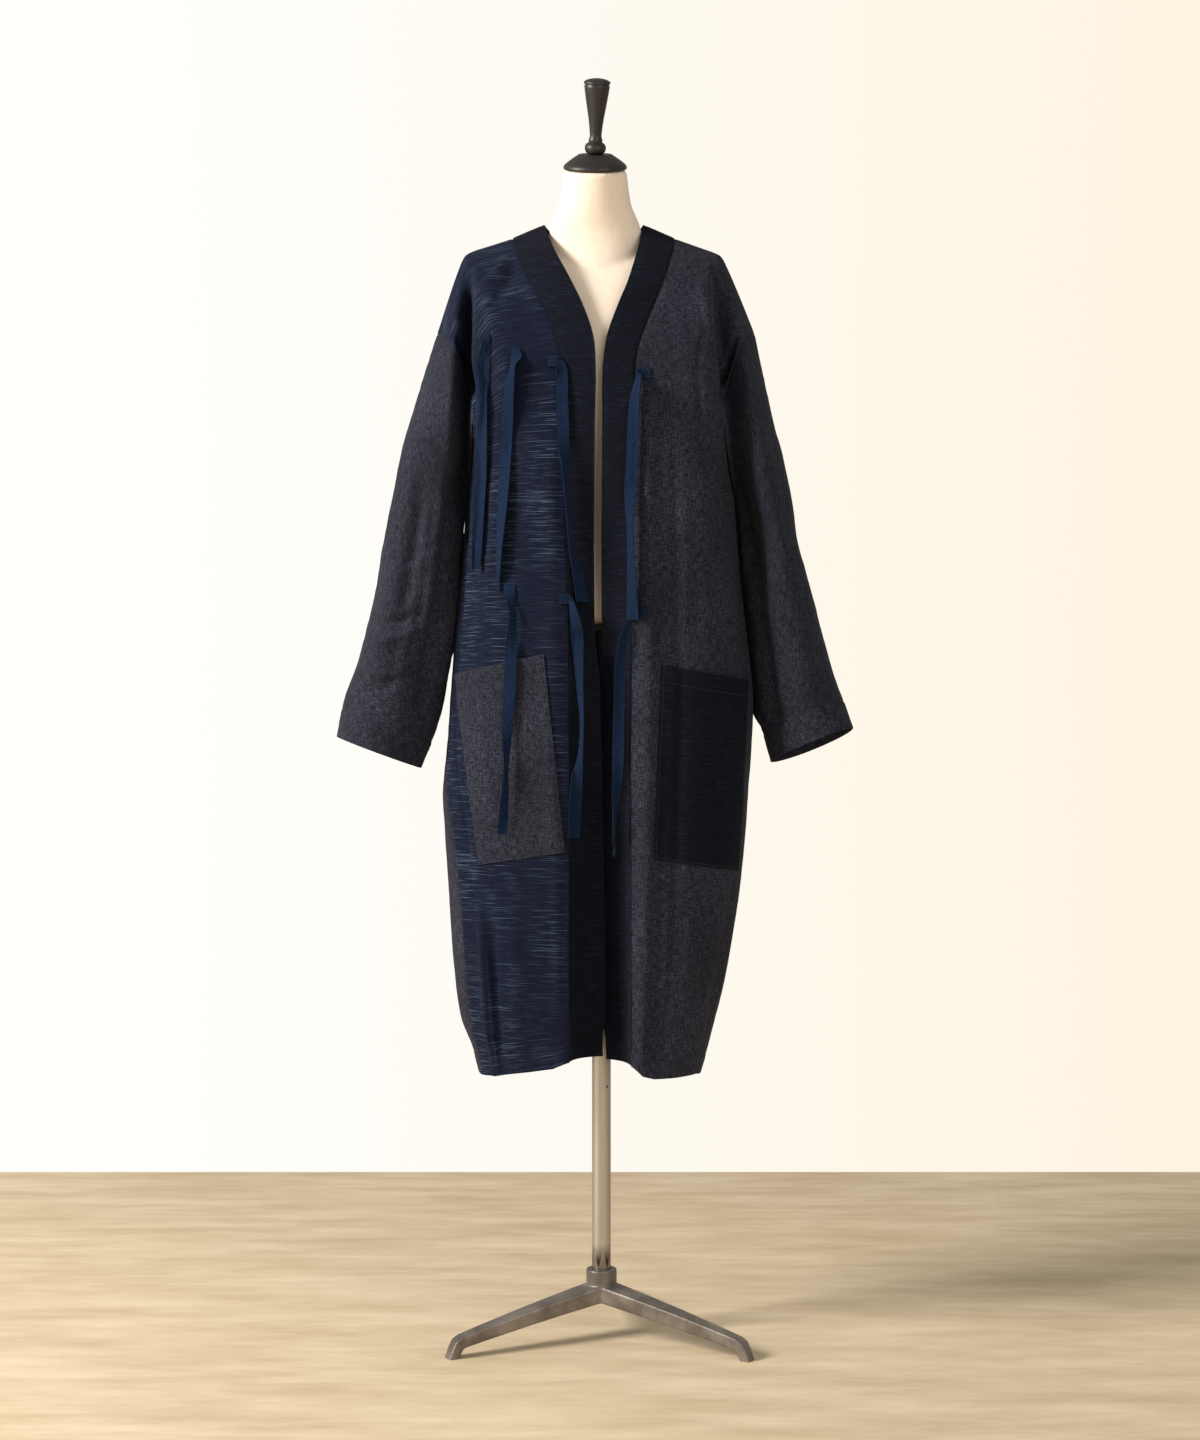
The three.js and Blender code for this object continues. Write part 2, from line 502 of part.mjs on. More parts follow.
const placeKey = (p) => [p.x, p.y, p.z].map((v) => Math.round(v * 50)).join(' ');

/** Mean normal at every point that neighbouring pieces share. */
function sharedNormals() {
  const shared = new Map();
  for (const { grid, normals } of pieces.values()) {
    grid.forEach((row, i) => row.forEach((point, j) => {
      const key = placeKey(point);
      const sum = shared.get(key) ?? new THREE.Vector3();
      shared.set(key, sum.add(normals[i][j]));
    }));
  }
  for (const sum of shared.values()) sum.normalize();
  return shared;
}

/** Draws a seam point back into its own piece, square to the seam and to the wall's direction. */
function drawBack(grid, i, j, sewn, normal) {
  const lastRow = grid.length - 1;
  const lastColumn = grid[0].length - 1;
  const shift = new THREE.Vector3();
  const pull = (towards, alongA, alongB) => {
    const tangent = alongB.clone().sub(alongA).normalize();
    const way = towards.clone().sub(grid[i][j]);
    way.addScaledVector(normal, -way.dot(normal));
    way.addScaledVector(tangent, -way.dot(tangent));
    if (way.length() > 1e-6) shift.addScaledVector(way.normalize(), SEAM_DRAW);
  };
  const up = grid[Math.min(i + 1, lastRow)][j];
  const down = grid[Math.max(i - 1, 0)][j];
  const before = grid[i][Math.max(j - 1, 0)];
  const after = grid[i][Math.min(j + 1, lastColumn)];
  if (j === 0 && sewn.includes('first')) pull(grid[i][1], down, up);
  if (j === lastColumn && sewn.includes('last')) pull(grid[i][lastColumn - 1], down, up);
  if (i === 0 && sewn.includes('bottom')) pull(grid[1][j], before, after);
  if (i === lastRow && sewn.includes('top')) pull(grid[lastRow - 1][j], before, after);
  return shift;
}

/** Closed wall of two layers of points; both layers are grids of the same size. */
function wallGeometry(outer, inner) {
  const rows = outer.length;
  const columns = outer[0].length;
  const corners = [...outer.flat(), ...inner.flat()];
  const layer = rows * columns;
  const faces = [];
  const quad = (a, b, c, d) => {
    faces.push(a, b, c, a, c, d);
  };
  const at = (i, j) => i * columns + j;
  for (let i = 0; i < rows - 1; i += 1) {
    for (let j = 0; j < columns - 1; j += 1) {
      quad(at(i, j), at(i, j + 1), at(i + 1, j + 1), at(i + 1, j));
      quad(layer + at(i, j), layer + at(i + 1, j), layer + at(i + 1, j + 1), layer + at(i, j + 1));
    }
  }
  const rim = [];
  for (let j = 0; j < columns - 1; j += 1) rim.push(at(0, j));
  for (let i = 0; i < rows - 1; i += 1) rim.push(at(i, columns - 1));
  for (let j = columns - 1; j > 0; j -= 1) rim.push(at(rows - 1, j));
  for (let i = rows - 1; i > 0; i -= 1) rim.push(at(i, 0));
  rim.forEach((a, k) => {
    const b = rim[(k + 1) % rim.length];
    quad(b, a, layer + a, layer + b);
  });
  return closedGeometry(corners, faces);
}

/** Geometry from corners and faces, turned so that its faces point outwards. */
function closedGeometry(corners, faces) {
  let volume = 0;
  for (let k = 0; k < faces.length; k += 3) {
    const [a, b, c] = [corners[faces[k]], corners[faces[k + 1]], corners[faces[k + 2]]];
    volume += a.dot(b.clone().cross(c));
  }
  const index = volume > 0 ? faces : faces.slice().reverse();
  const geometry = new THREE.BufferGeometry();
  geometry.setAttribute('position', new THREE.Float32BufferAttribute(corners.flatMap((p) => p.toArray()), 3));
  geometry.setIndex(index);
  geometry.computeVertexNormals();
  return geometry;
}

const group = new THREE.Group();
group.name = 'long haori coat on a dress form stand';

function addMesh(name, geometry, material) {
  const mesh = new THREE.Mesh(geometry, material.clone());
  mesh.name = name;
  group.add(mesh);
  return mesh;
}

const finish = (color, roughness, metalness = 0) => new THREE.MeshStandardMaterial({
  color, roughness, metalness });
const CHARCOAL = finish(0x3a3944, 0.95);
const INDIGO = finish(0x1f2942, 0.95);
const NAVY = finish(0x15161f, 0.9);
const BLUE_TAPE = finish(0x1f3552, 0.9);
const LINEN = finish(0xf3e6ca, 0.9);
const BLACK_WOOD = finish(0x2a2625, 0.4);
const STEEL = finish(0xa8998a, 0.35, 0.9);
const CAST = finish(0x6e6258, 0.45, 0.7);

const CLOTH_OF = {
  front_right: INDIGO, neckband: NAVY,
};

const shared = sharedNormals();
for (const [name, { grid, normals, sewn }] of pieces) {
  const thickness = name === 'neckband' ? BAND_CLOTH : CLOTH;
  const outer = [];
  const inner = [];
  grid.forEach((row, i) => {
    outer.push([]);
    inner.push([]);
    row.forEach((point, j) => {
      const normal = shared.get(placeKey(point));
      const spread = 1 / Math.max(normal.dot(normals[i][j]), 0.65);
      const place = point.clone().add(drawBack(grid, i, j, sewn, normal));
      outer[i].push(place);
      inner[i].push(place.clone().addScaledVector(normal, -thickness * spread));
    });
  });
  addMesh(name, wallGeometry(outer, inner), CLOTH_OF[name] ?? CHARCOAL);
}

// ---- pockets, laid on the front panels ----

/** Point and normal of a panel between its grid points. */
function onPanel(piece, columns, u, level) {
  const i = Math.min(LEVELS.findLastIndex((k) => k <= level), LEVELS.length - 2);
  const j = Math.min(columns.findLastIndex((k) => k <= u), columns.length - 2);
  const a = (level - LEVELS[i]) / (LEVELS[i + 1] - LEVELS[i]);
  const b = (u - columns[j]) / (columns[j + 1] - columns[j]);
  const blend = (layer) => {
    const low = layer[i][j].clone().lerp(layer[i][j + 1], b);
    const high = layer[i + 1][j].clone().lerp(layer[i + 1][j + 1], b);
    return low.lerp(high, a);
  };
  return { point: blend(piece.grid), normal: blend(piece.normals).normalize() };
}

/** Place across a front panel of a point seen from the front at x. */
function columnOf(side, x, z) {
  const seamX = valueAt(EDGES, 'z', side < 0 ? 'seamL' : 'seamR', z);
  const sideX = valueAt(BODY, 'z', side < 0 ? 'left' : 'right', z);
  const share = THREE.MathUtils.clamp((x - seamX) / (sideX - seamX), 0, 1);
  const t = Math.acos(share ** (1 / FRONT_ROUND));
  const wrap = side < 0 ? valueAt(BODY, 'z', 'wrap', z) : 0;
  return THREE.MathUtils.clamp((t - wrap) / (Math.PI / 2 - wrap), 0.03, 0.97);
}

const POCKET_COLUMNS = 11;
const POCKET_ROWS = 8;
for (const pocket of POCKETS) {
  const piece = pieces.get(pocket.side < 0 ? 'front_right' : 'front_left');
  const corner = (x, z) => ({ u: columnOf(pocket.side, x, z), level: (z - HEM_Z) / (UNDERARM_Z - HEM_Z) });
  const topOut = corner(pocket.topOutX, pocket.topOutZ);
  const topIn = corner(pocket.topInX, pocket.topInZ);
  const lowIn = corner(pocket.lowInX, pocket.lowInZ);
  const lowOut = corner(pocket.lowOutX, pocket.lowOutZ);
  const layer = (away) => Array.from({ length: POCKET_ROWS + 1 }, (_, i) => {
    const down = i / POCKET_ROWS;
    return Array.from({ length: POCKET_COLUMNS + 1 }, (__, j) => {
      const along = j / POCKET_COLUMNS;
      const mix = (key) => THREE.MathUtils.lerp(
        THREE.MathUtils.lerp(topOut[key], lowOut[key], down),
        THREE.MathUtils.lerp(topIn[key], lowIn[key], down), along);
      const { point, normal } = onPanel(piece, FRONT_COLUMNS, mix('u'), mix('level'));
      return point.addScaledVector(normal, away);
    });
  });
  addMesh(pocket.name, wallGeometry(layer(POCKET_OUT + CLOTH), layer(POCKET_OUT)),
    pocket.side < 0 ? CHARCOAL : NAVY);
}

// ---- ties, hanging from heads sewn on the fronts ----

/** Foremost y of the fronts and the band at a place seen from the front. */
function foremost(x, z) {
  let best = 0;
  for (const name of ['front_right', 'front_left', 'neckband']) {
    const { grid } = pieces.get(name);
    for (let i = 0; i < grid.length - 1; i += 1) {
      for (let j = 0; j < grid[0].length - 1; j += 1) {
        const [a, b, c, d] = [grid[i][j], grid[i][j + 1], grid[i + 1][j + 1], grid[i + 1][j]];
        best = Math.min(best, depthIn(a, b, c, x, z), depthIn(a, c, d, x, z));
      }
    }
  }
  return best;
}

/** y of a triangle at (x, z), or 0 outside it. */
function depthIn(a, b, c, x, z) {
  const area = (b.x - a.x) * (c.z - a.z) - (c.x - a.x) * (b.z - a.z);
  if (Math.abs(area) < 1e-9) return 0;
  const v = ((x - a.x) * (c.z - a.z) - (c.x - a.x) * (z - a.z)) / area;
  const w = ((b.x - a.x) * (z - a.z) - (x - a.x) * (b.z - a.z)) / area;
  const inside = v >= -1e-6 && w >= -1e-6 && v + w <= 1 + 1e-6;
  return inside ? a.y + v * (b.y - a.y) + w * (c.y - a.y) : 0;
}

const HEAD_LIFT = 0.9;
const FREE_FALL = 0.03;

function tieGeometry(tie) {
  const stations = [0, TAPE_HEAD / tie.long];
  for (let k = 1; k <= TIE_STEPS; k += 1) {
    stations.push(stations[1] + (1 - stations[1]) * k / TIE_STEPS);
  }
  const outer = [];
  const inner = [];
  const first = [];
  stations.forEach((f, i) => {
    const onHead = i < 2;
    const narrow = 1 - 0.55 * Math.exp(-(((f - tie.twist) / 0.05) ** 2));
    const tip = tie.pointed ? 1 - 0.75 * smooth((f - 0.93) / 0.07) : 1;
    const half = TAPE_WIDTH / 2 * narrow * tip;
    const lift = THREE.MathUtils.lerp(HEAD_LIFT, tie.lift, smooth((f - 0.04) / 0.14));
    const x = tie.x + tie.lean * f + tie.bow * Math.sin(Math.PI * f) + tie.head * smooth(1 - f / 0.1);
    const z = tie.z - tie.long * f;
    const thick = onHead ? 2 * TAPE : TAPE;
    outer.push([]);
    inner.push([]);
    for (const across of [-1, 0, 1]) {
      const touch = foremost(x + across * half, z) - lift;
      if (i === 0) first.push(touch);
      const y = Math.min(touch, first[across + 1] + FREE_FALL * tie.long * f);
      inner[i].push(new THREE.Vector3(x + across * half, y, z));
      outer[i].push(new THREE.Vector3(x + across * half, y - thick, z));
    }
  });
  return wallGeometry(outer, inner);
}
TIES.forEach((tie, k) => addMesh(`tie_${k + 1}`, tieGeometry(tie), BLUE_TAPE));

// ---- dress form ----

/** Closed stack of rings; each ring is an array of points. */
function ringGeometry(rings) {
  const sides = rings[0].length;
  const corners = rings.flat();
  const faces = [];
  for (let i = 0; i < rings.length - 1; i += 1) {
    for (let j = 0; j < sides; j += 1) {
      const k = (j + 1) % sides;
      const [a, b] = [i * sides + j, i * sides + k];
      faces.push(a, b, b + sides, a, b + sides, a + sides);
    }
  }
  for (const [ring, turned] of [[0, true], [rings.length - 1, false]]) {
    const middle = rings[ring].reduce((sum, p) => sum.add(p), new THREE.Vector3()).divideScalar(sides);
    corners.push(middle);
    for (let j = 0; j < sides; j += 1) {
      const a = ring * sides + j;
      const b = ring * sides + (j + 1) % sides;
      if (turned) faces.push(b, a, corners.length - 1);
      else faces.push(a, b, corners.length - 1);
    }
  }
  return closedGeometry(corners, faces);
}

/** Manifold solid of a geometry, turned round +Z. */
function solidOf(geometry, azimuth = 0) {
  const plain = geometry.clone();
  plain.deleteAttribute('normal');
  plain.rotateZ(THREE.MathUtils.degToRad(azimuth));
  const merged = mergeVertices(plain, 1e-4);
  return new wasm.Manifold(new wasm.Mesh({
    numProp: 3,
    vertProperties: new Float32Array(merged.getAttribute('position').array),
    triVerts: new Uint32Array(merged.getIndex().array),
  }));
}

function geometryOf(solid) {
  const { vertProperties, triVerts } = solid.getMesh();
  const geometry = new THREE.BufferGeometry();
  geometry.setAttribute('position', new THREE.Float32BufferAttribute(vertProperties, 3));
  geometry.setIndex(Array.from(triVerts));
  geometry.computeVertexNormals();
  return geometry;
}

/** Rings of the form: ellipses whose front and back depths differ. */
const formRings = (rows) => rows.map((row) => Array.from({ length: TORSO_SIDES }, (_, j) => {
  const turn = 2 * Math.PI * j / TORSO_SIDES;
  const depth = Math.sin(turn) < 0 ? row.front : row.back;
  const y = depth * Math.sin(turn);
  return new THREE.Vector3(FORM_X + row.half * Math.cos(turn), row.y + y, row.z + y * Math.tan(row.lean));
}));
const torso = solidOf(ringGeometry(formRings(TORSO))).add(solidOf(ringGeometry(formRings(NECK))));
addMesh('form_torso', geometryOf(torso), LINEN);

/** Turned piece on the +Z axis from pairs of radius and height. */
function turned(profile, sides = 28) {
  const lathe = new THREE.LatheGeometry(profile.map(([r, h]) => new THREE.Vector2(r, h)), sides);
  lathe.deleteAttribute('normal');
  lathe.deleteAttribute('uv');
  lathe.rotateX(Math.PI / 2);
  const merged = mergeVertices(lathe, 1e-4);
  const position = merged.getAttribute('position');
  const corners = Array.from({ length: position.count }, (_, k) => (
    new THREE.Vector3().fromBufferAttribute(position, k)));
  const index = Array.from(merged.getIndex().array);
  const faces = [];
  for (let k = 0; k < index.length; k += 3) {
    const [a, b, c] = index.slice(k, k + 3);
    if (a !== b && b !== c && a !== c) faces.push(a, b, c);
  }
  return closedGeometry(corners, faces);
}

const CAP_HEIGHT = 19.7;
const CAP_PROFILE = [[0, 0], [40, 0], [41.8, 2.2], [41, 5], [34, 11.2], [24.5, 17.4], [20, CAP_HEIGHT],
  [0, CAP_HEIGHT]];
const FINIAL_PROFILE = [[0, 0], [8.8, 0], [13.4, 3.6], [14.3, 8.5], [12.8, 13], [9, 16], [9.3, 19.5], [7.8, 23.5],
  [8.3, 30], [10.6, 48], [13.9, 67], [16.8, 86], [17.9, 92.4], [13.5, 96.2], [8, 97.6], [0, 98.3]];
const neckTop = new THREE.Group();
neckTop.position.set(FORM_X, -29.5, 1578);
neckTop.rotation.x = NECK_LEAN;
const cap = addMesh('form_cap', turned(CAP_PROFILE, 24), BLACK_WOOD);
cap.position.z = CLEAR;
const finial = addMesh('form_finial', turned(FINIAL_PROFILE, 20), BLACK_WOOD);
finial.position.z = CAP_HEIGHT + 2 * CLEAR;
finial.rotation.y = 0.03;
neckTop.add(cap, finial);
group.add(neckTop);

// ---- pole and base ----

const TORSO_FLOOR = TORSO[0].z;
const SOCKET = { flange: 44, plate: 8, collar: 19, drop: 42 };
const pipeBore = PIPE_RADIUS + CLEAR;
const socketTop = TORSO_FLOOR - CLEAR;
const socket = addMesh('pole_socket', turned([
  [pipeBore, socketTop - SOCKET.drop], [SOCKET.collar, socketTop - SOCKET.drop],
  [SOCKET.collar, socketTop - SOCKET.plate], [SOCKET.flange, socketTop - SOCKET.plate],
  [SOCKET.flange, socketTop], [pipeBore, socketTop], [pipeBore, socketTop - SOCKET.drop],
]), CAST);
socket.position.x = POLE_X;

const poleFoot = HUB.floor + CLEAR;
const pole = addMesh('pole', turned([
  [0, poleFoot], [PIPE_RADIUS, poleFoot], [PIPE_RADIUS, socketTop], [0, socketTop],
]), STEEL);
pole.position.x = POLE_X;

/** One tripod leg: rounded sections swept from the hub out and down to a flat foot. */
function legGeometry() {
  const sides = 10;
  const rings = LEG.map((row, i) => {
    const before = LEG[Math.max(i - 1, 0)];
    const after = LEG[Math.min(i + 1, LEG.length - 1)];
    const last = i === LEG.length - 1;
    const way = last ? new THREE.Vector2(0, -1)
      : new THREE.Vector2(after.r - before.r, after.z - before.z).normalize();
    return Array.from({ length: sides }, (_, j) => {
      const turn = 2 * Math.PI * j / sides;
      const side = Math.sign(Math.cos(turn)) * Math.abs(Math.cos(turn)) ** 0.6 * row.wide;
      const up = Math.sign(Math.sin(turn)) * Math.abs(Math.sin(turn)) ** 0.6 * row.high;
      return new THREE.Vector3(row.r - up * way.y, side, row.z + up * way.x);
    });
  });
  return ringGeometry(rings);
}

const hubGeometry = turned([
  [0, HUB.foot], [HUB.skirt, HUB.foot], [HUB.skirt, HUB.shoulder], [HUB.radius, HUB.shoulder + 4],
  [HUB.radius, HUB.top], [pipeBore, HUB.top], [pipeBore, HUB.floor], [0, HUB.floor],
]);
let casting = solidOf(hubGeometry);
for (const azimuth of LEG_AZIMUTHS) casting = casting.add(solidOf(legGeometry(), azimuth));
const boreCutter = solidOf(turned([[0, HUB.floor], [pipeBore, HUB.floor], [pipeBore, HUB.top + 5], [0, HUB.top + 5]]));
casting = casting.subtract(boreCutter);
const base = addMesh('base', geometryOf(casting), CAST);
base.position.x = POLE_X;

// The whole part stands with the middle of its box over the origin.
group.updateMatrixWorld(true);
const box = new THREE.Box3().setFromObject(group, true);
group.position.x = -(box.min.x + box.max.x) / 2;
group.position.y = -(box.min.y + box.max.y) / 2;

export default group;
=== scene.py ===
"""A long haori coat on a dress form stand, dressed over its solid frame.

The coat's front faces -Y, and its pieces are named for the wearer's side, so the right front lies at
-X. Tables and shapes are in millimetres round the middle of the coat; meshes are made in metres.
"""

from math import pi, radians

import bpy
import numpy as np
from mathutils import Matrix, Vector


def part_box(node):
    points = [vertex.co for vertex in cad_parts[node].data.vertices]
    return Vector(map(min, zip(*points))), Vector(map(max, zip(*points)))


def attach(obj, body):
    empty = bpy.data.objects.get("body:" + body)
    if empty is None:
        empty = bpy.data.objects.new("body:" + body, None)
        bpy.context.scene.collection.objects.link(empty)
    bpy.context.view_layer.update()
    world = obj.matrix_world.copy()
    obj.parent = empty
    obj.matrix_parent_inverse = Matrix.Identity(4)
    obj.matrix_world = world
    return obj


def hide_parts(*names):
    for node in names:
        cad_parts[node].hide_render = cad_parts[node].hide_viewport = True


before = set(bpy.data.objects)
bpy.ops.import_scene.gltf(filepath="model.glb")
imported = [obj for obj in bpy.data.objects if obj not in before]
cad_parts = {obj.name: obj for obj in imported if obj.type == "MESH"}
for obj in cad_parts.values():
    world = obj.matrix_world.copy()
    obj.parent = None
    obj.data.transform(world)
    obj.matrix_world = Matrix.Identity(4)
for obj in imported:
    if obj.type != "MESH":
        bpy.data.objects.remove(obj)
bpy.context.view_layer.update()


# ---- tripod base ----
# One casting: a hub with a collar round the pole, and three legs that arch down to flat feet.
# Iron with a coarse, hammered skin and a worn, greyish brown finish.

POLE_X = 2.0
pole_low, pole_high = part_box("pole")
ORIGIN = np.array([500 * (pole_low.x + pole_high.x) - POLE_X, 500 * (pole_low.y + pole_high.y), 0.0])


def unit(vectors):
    """Vectors divided by their lengths."""
    return vectors / np.maximum(np.linalg.norm(vectors, axis=-1, keepdims=True), 1e-9)


def add_object(name, data):
    """A new object in the scene."""
    made = bpy.data.objects.new(name, data)
    bpy.context.scene.collection.objects.link(made)
    return made


def new_piece(name, points, faces, uv=None, sharp=40):
    """Object with points in millimetres round the coat's middle; uv is each point's place in metres."""
    mesh = bpy.data.meshes.new(name)
    mesh.from_pydata(((points + ORIGIN) / 1000).tolist(), [], faces)
    if uv is not None:
        corners = np.empty(len(mesh.loops), int)
        mesh.loops.foreach_get("vertex_index", corners)
        mesh.uv_layers.new(name="cloth").data.foreach_set("uv", uv[corners].ravel())
    mesh.shade_smooth()
    mesh.set_sharp_from_angle(angle=radians(sharp))
    return add_object(name, mesh)


def loft(rings):
    """Points and faces of a closed loft: quads between rings and a fan at either end.

    The rings run counter-clockwise round the way the loft goes, so its faces point outwards.
    """
    count, sides = rings.shape[:2]
    points = np.concatenate([rings.reshape(-1, 3), [rings[0].mean(0), rings[-1].mean(0)]])
    i, j = np.meshgrid(np.arange(count - 1) * sides, np.arange(sides), indexing="ij")
    k = (j + 1) % sides
    quads = np.stack([i + j, i + k, i + sides + k, i + sides + j], -1).reshape(-1, 4)
    around, after = np.arange(sides), (np.arange(sides) + 1) % sides
    low, high = np.full(sides, count * sides), np.full(sides, count * sides + 1)
    top = (count - 1) * sides
    foot_fan = np.stack([after, around, low], -1)
    fans = np.concatenate([foot_fan, np.stack([top + around, top + after, high], -1)])
    return points, quads.tolist() + fans.tolist()


def join_shells(shells):
    """Points and faces of several closed shells in one mesh."""
    points, faces, count = [], [], 0
    for shell_points, shell_faces in shells:
        points.append(shell_points)
        faces += [[count + corner for corner in face] for face in shell_faces]
        count += len(shell_points)
    return np.concatenate(points), faces


def turned_rings(profile, sides=64):
    """Rings about the +Z axis at each radius and height of a profile that goes up."""
    turn = 2 * pi * np.arange(sides) / sides
    circle = np.stack([np.cos(turn), np.sin(turn), np.zeros(sides)], -1)
    return profile[:, 0, None, None] * circle + profile[:, 1, None, None] * np.array([0, 0, 1.0])


def settle(piece):
    """Replaces a piece's mesh by its evaluated one, with its modifiers applied."""
    made = bpy.data.meshes.new_from_object(piece.evaluated_get(bpy.context.evaluated_depsgraph_get()))
    piece.modifiers.clear()
    piece.data = made
    made.shade_smooth()


def one_skin(piece, voxel, rounds):
    """Makes one skin of overlapping shells, and smooths it so that the joins become fillets."""
    remesh = piece.modifiers.new("skin", "REMESH")
    remesh.mode = "VOXEL"
    remesh.voxel_size = voxel / 1000
    fillet = piece.modifiers.new("fillet", "SMOOTH")
    fillet.iterations = rounds
    settle(piece)


# Leg stations: distance from the pole, height, half height and half width.
LEG = np.array([
    [4, 61, 11.5, 19], [60, 51, 10.6, 16], [120, 39.5, 9.6, 13], [175, 28, 8.4, 10.8], [209, 20.5, 7.6, 9.6],
    [214.5, 17.5, 7.4, 9.4], [218.5, 11, 7, 9], [224, -1, 6.4, 8.6],
])
LEG_AZIMUTHS = [-31.5, -151.5, 88.5]
LEG_SQUARENESS = 0.16
HUB_PROFILE = np.array([[19, 50], [20.8, 52], [20.8, 90.4], [19.4, 92]])
BORE_RADIUS, BORE_FLOOR, BORE_TOP = 13.05, 58, 100
SKIN_SHARP = radians(50)


def leg_rings(azimuth, stations=71, sides=80):
    """Rounded sections square to the leg's line, turned round the pole to the leg's azimuth."""
    number = np.arange(len(LEG))
    at = np.linspace(0, number[-1], stations)
    reach, z, high, wide = (np.interp(at, number, LEG[:, k])[:, None] for k in range(4))
    way = unit(np.stack([np.gradient(reach[:, 0]), np.gradient(z[:, 0])], -1))[:, :, None]
    way[-1, :, 0] = 0, -1
    turn = 2 * pi * np.arange(sides) / sides
    rounded = lambda wave: np.sign(wave) * np.abs(wave) ** LEG_SQUARENESS
    side, up = rounded(np.cos(turn)) * wide, rounded(np.sin(turn)) * high
    out, height = reach - up * way[:, 1], z + up * way[:, 0]
    c, s = np.cos(radians(azimuth)), np.sin(radians(azimuth))
    return np.stack([POLE_X + out * c - side * s, out * s + side * c, height], -1)


at_pole = np.array([POLE_X, 0, 0])
casting = [loft(turned_rings(HUB_PROFILE) + at_pole), *(loft(leg_rings(turn)) for turn in LEG_AZIMUTHS)]
base = new_piece("tripod_base", *join_shells(casting))
one_skin(base, voxel=1.25, rounds=2)
cutter_profile = np.array([[BORE_RADIUS, BORE_FLOOR], [BORE_RADIUS, BORE_TOP]])
cutter = new_piece("bore", *loft(turned_rings(cutter_profile) + at_pole))
bore = base.modifiers.new("bore", "BOOLEAN")
bore.object, bore.operation = cutter, "DIFFERENCE"
settle(base)
bpy.data.objects.remove(cutter)
for vertex in base.data.vertices:
    vertex.co.z = max(vertex.co.z, 0)
base.data.set_sharp_from_angle(angle=SKIN_SHARP)
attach(base, "root")
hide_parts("base")


def srgb(red, green, blue):
    """Linear colour of an 8-bit screen colour."""
    value = np.array([red, green, blue]) / 255
    linear = np.where(value <= 0.04045, value / 12.92, ((value + 0.055) / 1.055) ** 2.4)
    return (*linear.tolist(), 1.0)


def node(tree, kind, sockets=None, **settings):
    """A new node; sockets maps an input to a value, or to the output that feeds it."""
    made = tree.nodes.new("ShaderNode" + kind)
    for key, value in settings.items():
        setattr(made, key, value)
    feed(tree, made, sockets or {})
    return made


def feed(tree, made, sockets):
    """Sets inputs of a node to values, or links them to the outputs that feed them."""
    for key, value in sockets.items():
        if isinstance(value, bpy.types.NodeSocket):
            tree.links.new(value, made.inputs[key])
        else:
            made.inputs[key].default_value = value


def noise(tree, vector, scale, detail):
    """Output of a Noise Texture node."""
    return node(tree, "TexNoise", {"Vector": vector, "Scale": scale, "Detail": detail}).outputs[0]


def ramp(tree, value, start, end, low=0.0, high=1.0):
    """Output of a Map Range node, which goes from low to high as the value goes from start to end."""
    return node(tree, "MapRange", {0: value, 1: start, 2: end, 3: low, 4: high}).outputs[0]


def blend_colour(tree, factor, a, b):
    """Output of a colour Mix node."""
    return node(tree, "Mix", {0: factor, 6: a, 7: b}, data_type="RGBA").outputs[2]


def bump(tree, height, strength, distance):
    """Output of a Bump node."""
    return node(tree, "Bump", {"Height": height, "Strength": strength, "Distance": distance}).outputs[0]


def finish(name, **constants):
    """A material with one Principled shader, whose plain numbers and colours are constants on it."""
    material = bpy.data.materials.new(name)
    material.use_nodes = True
    tree = material.node_tree
    shader = tree.nodes["Principled BSDF"]
    for key, value in constants.items():
        shader.inputs[key.replace("_", " ")].default_value = value
    return material, tree, shader


def paint(piece, material):
    """Gives a piece its only material."""
    piece.data.materials.clear()
    piece.data.materials.append(material)


cast_metal, tree, shader = finish("cast metal", Metallic=0.6, Roughness=0.45)
where = node(tree, "TexCoord").outputs["Object"]
dimples = noise(tree, where, 330.0, 2.0)
worn = ramp(tree, noise(tree, where, 28.0, 3.0), 0.4, 0.68)
feed(tree, shader, {
    "Base Color": blend_colour(tree, worn, srgb(112, 104, 97), srgb(148, 140, 133)),
    "Roughness": ramp(tree, dimples, 0.0, 1.0, 0.34, 0.5),
    "Normal": bump(tree, dimples, 0.5, 0.0006),
})
paint(base, cast_metal)


# ---- pole ----
# A drawn steel tube, brushed along its length and set in the hub. It was welded there once, which
# left a dark heat tint over its lowest stretch, with pale pointed licks.

PIPE_RADIUS, PIPE_EDGE = 12.7, 0.6
POLE_FOOT, POLE_TOP = 1000 * pole_low.z, 1000 * pole_high.z
tube = np.array([
    [PIPE_RADIUS - PIPE_EDGE, POLE_FOOT], [PIPE_RADIUS, POLE_FOOT + PIPE_EDGE],
    [PIPE_RADIUS, POLE_TOP - PIPE_EDGE], [PIPE_RADIUS - PIPE_EDGE, POLE_TOP],
])
pole = new_piece("steel_pole", *loft(turned_rings(tube) + at_pole))
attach(pole, "root")
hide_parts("pole")

# In metres: where the heat tint fades out, the zigzag of its licks round the pole, and a small hole.
TINT_TOP, TINT_BOTTOM = 0.127, 0.104
LICK_FOOT, LICK_RISE, LICK_WIDE = 0.093, 0.024, 0.0013
LICK_TURN, LICK_START = 0.5, 0.92
HOLE, HOLE_RADIUS, HOLE_RIM = Vector((0.0075, -0.0103, 0.34)), 0.0012, 0.0017


def math(tree, operation, a, b=0.0):
    """Output of a Math node."""
    return node(tree, "Math", {0: a, 1: b}, operation=operation).outputs[0]


def stretched(tree, vector, *scale):
    """Output of a Mapping node that scales a place along each axis."""
    return node(tree, "Mapping", {"Vector": vector, "Scale": scale}).outputs[0]


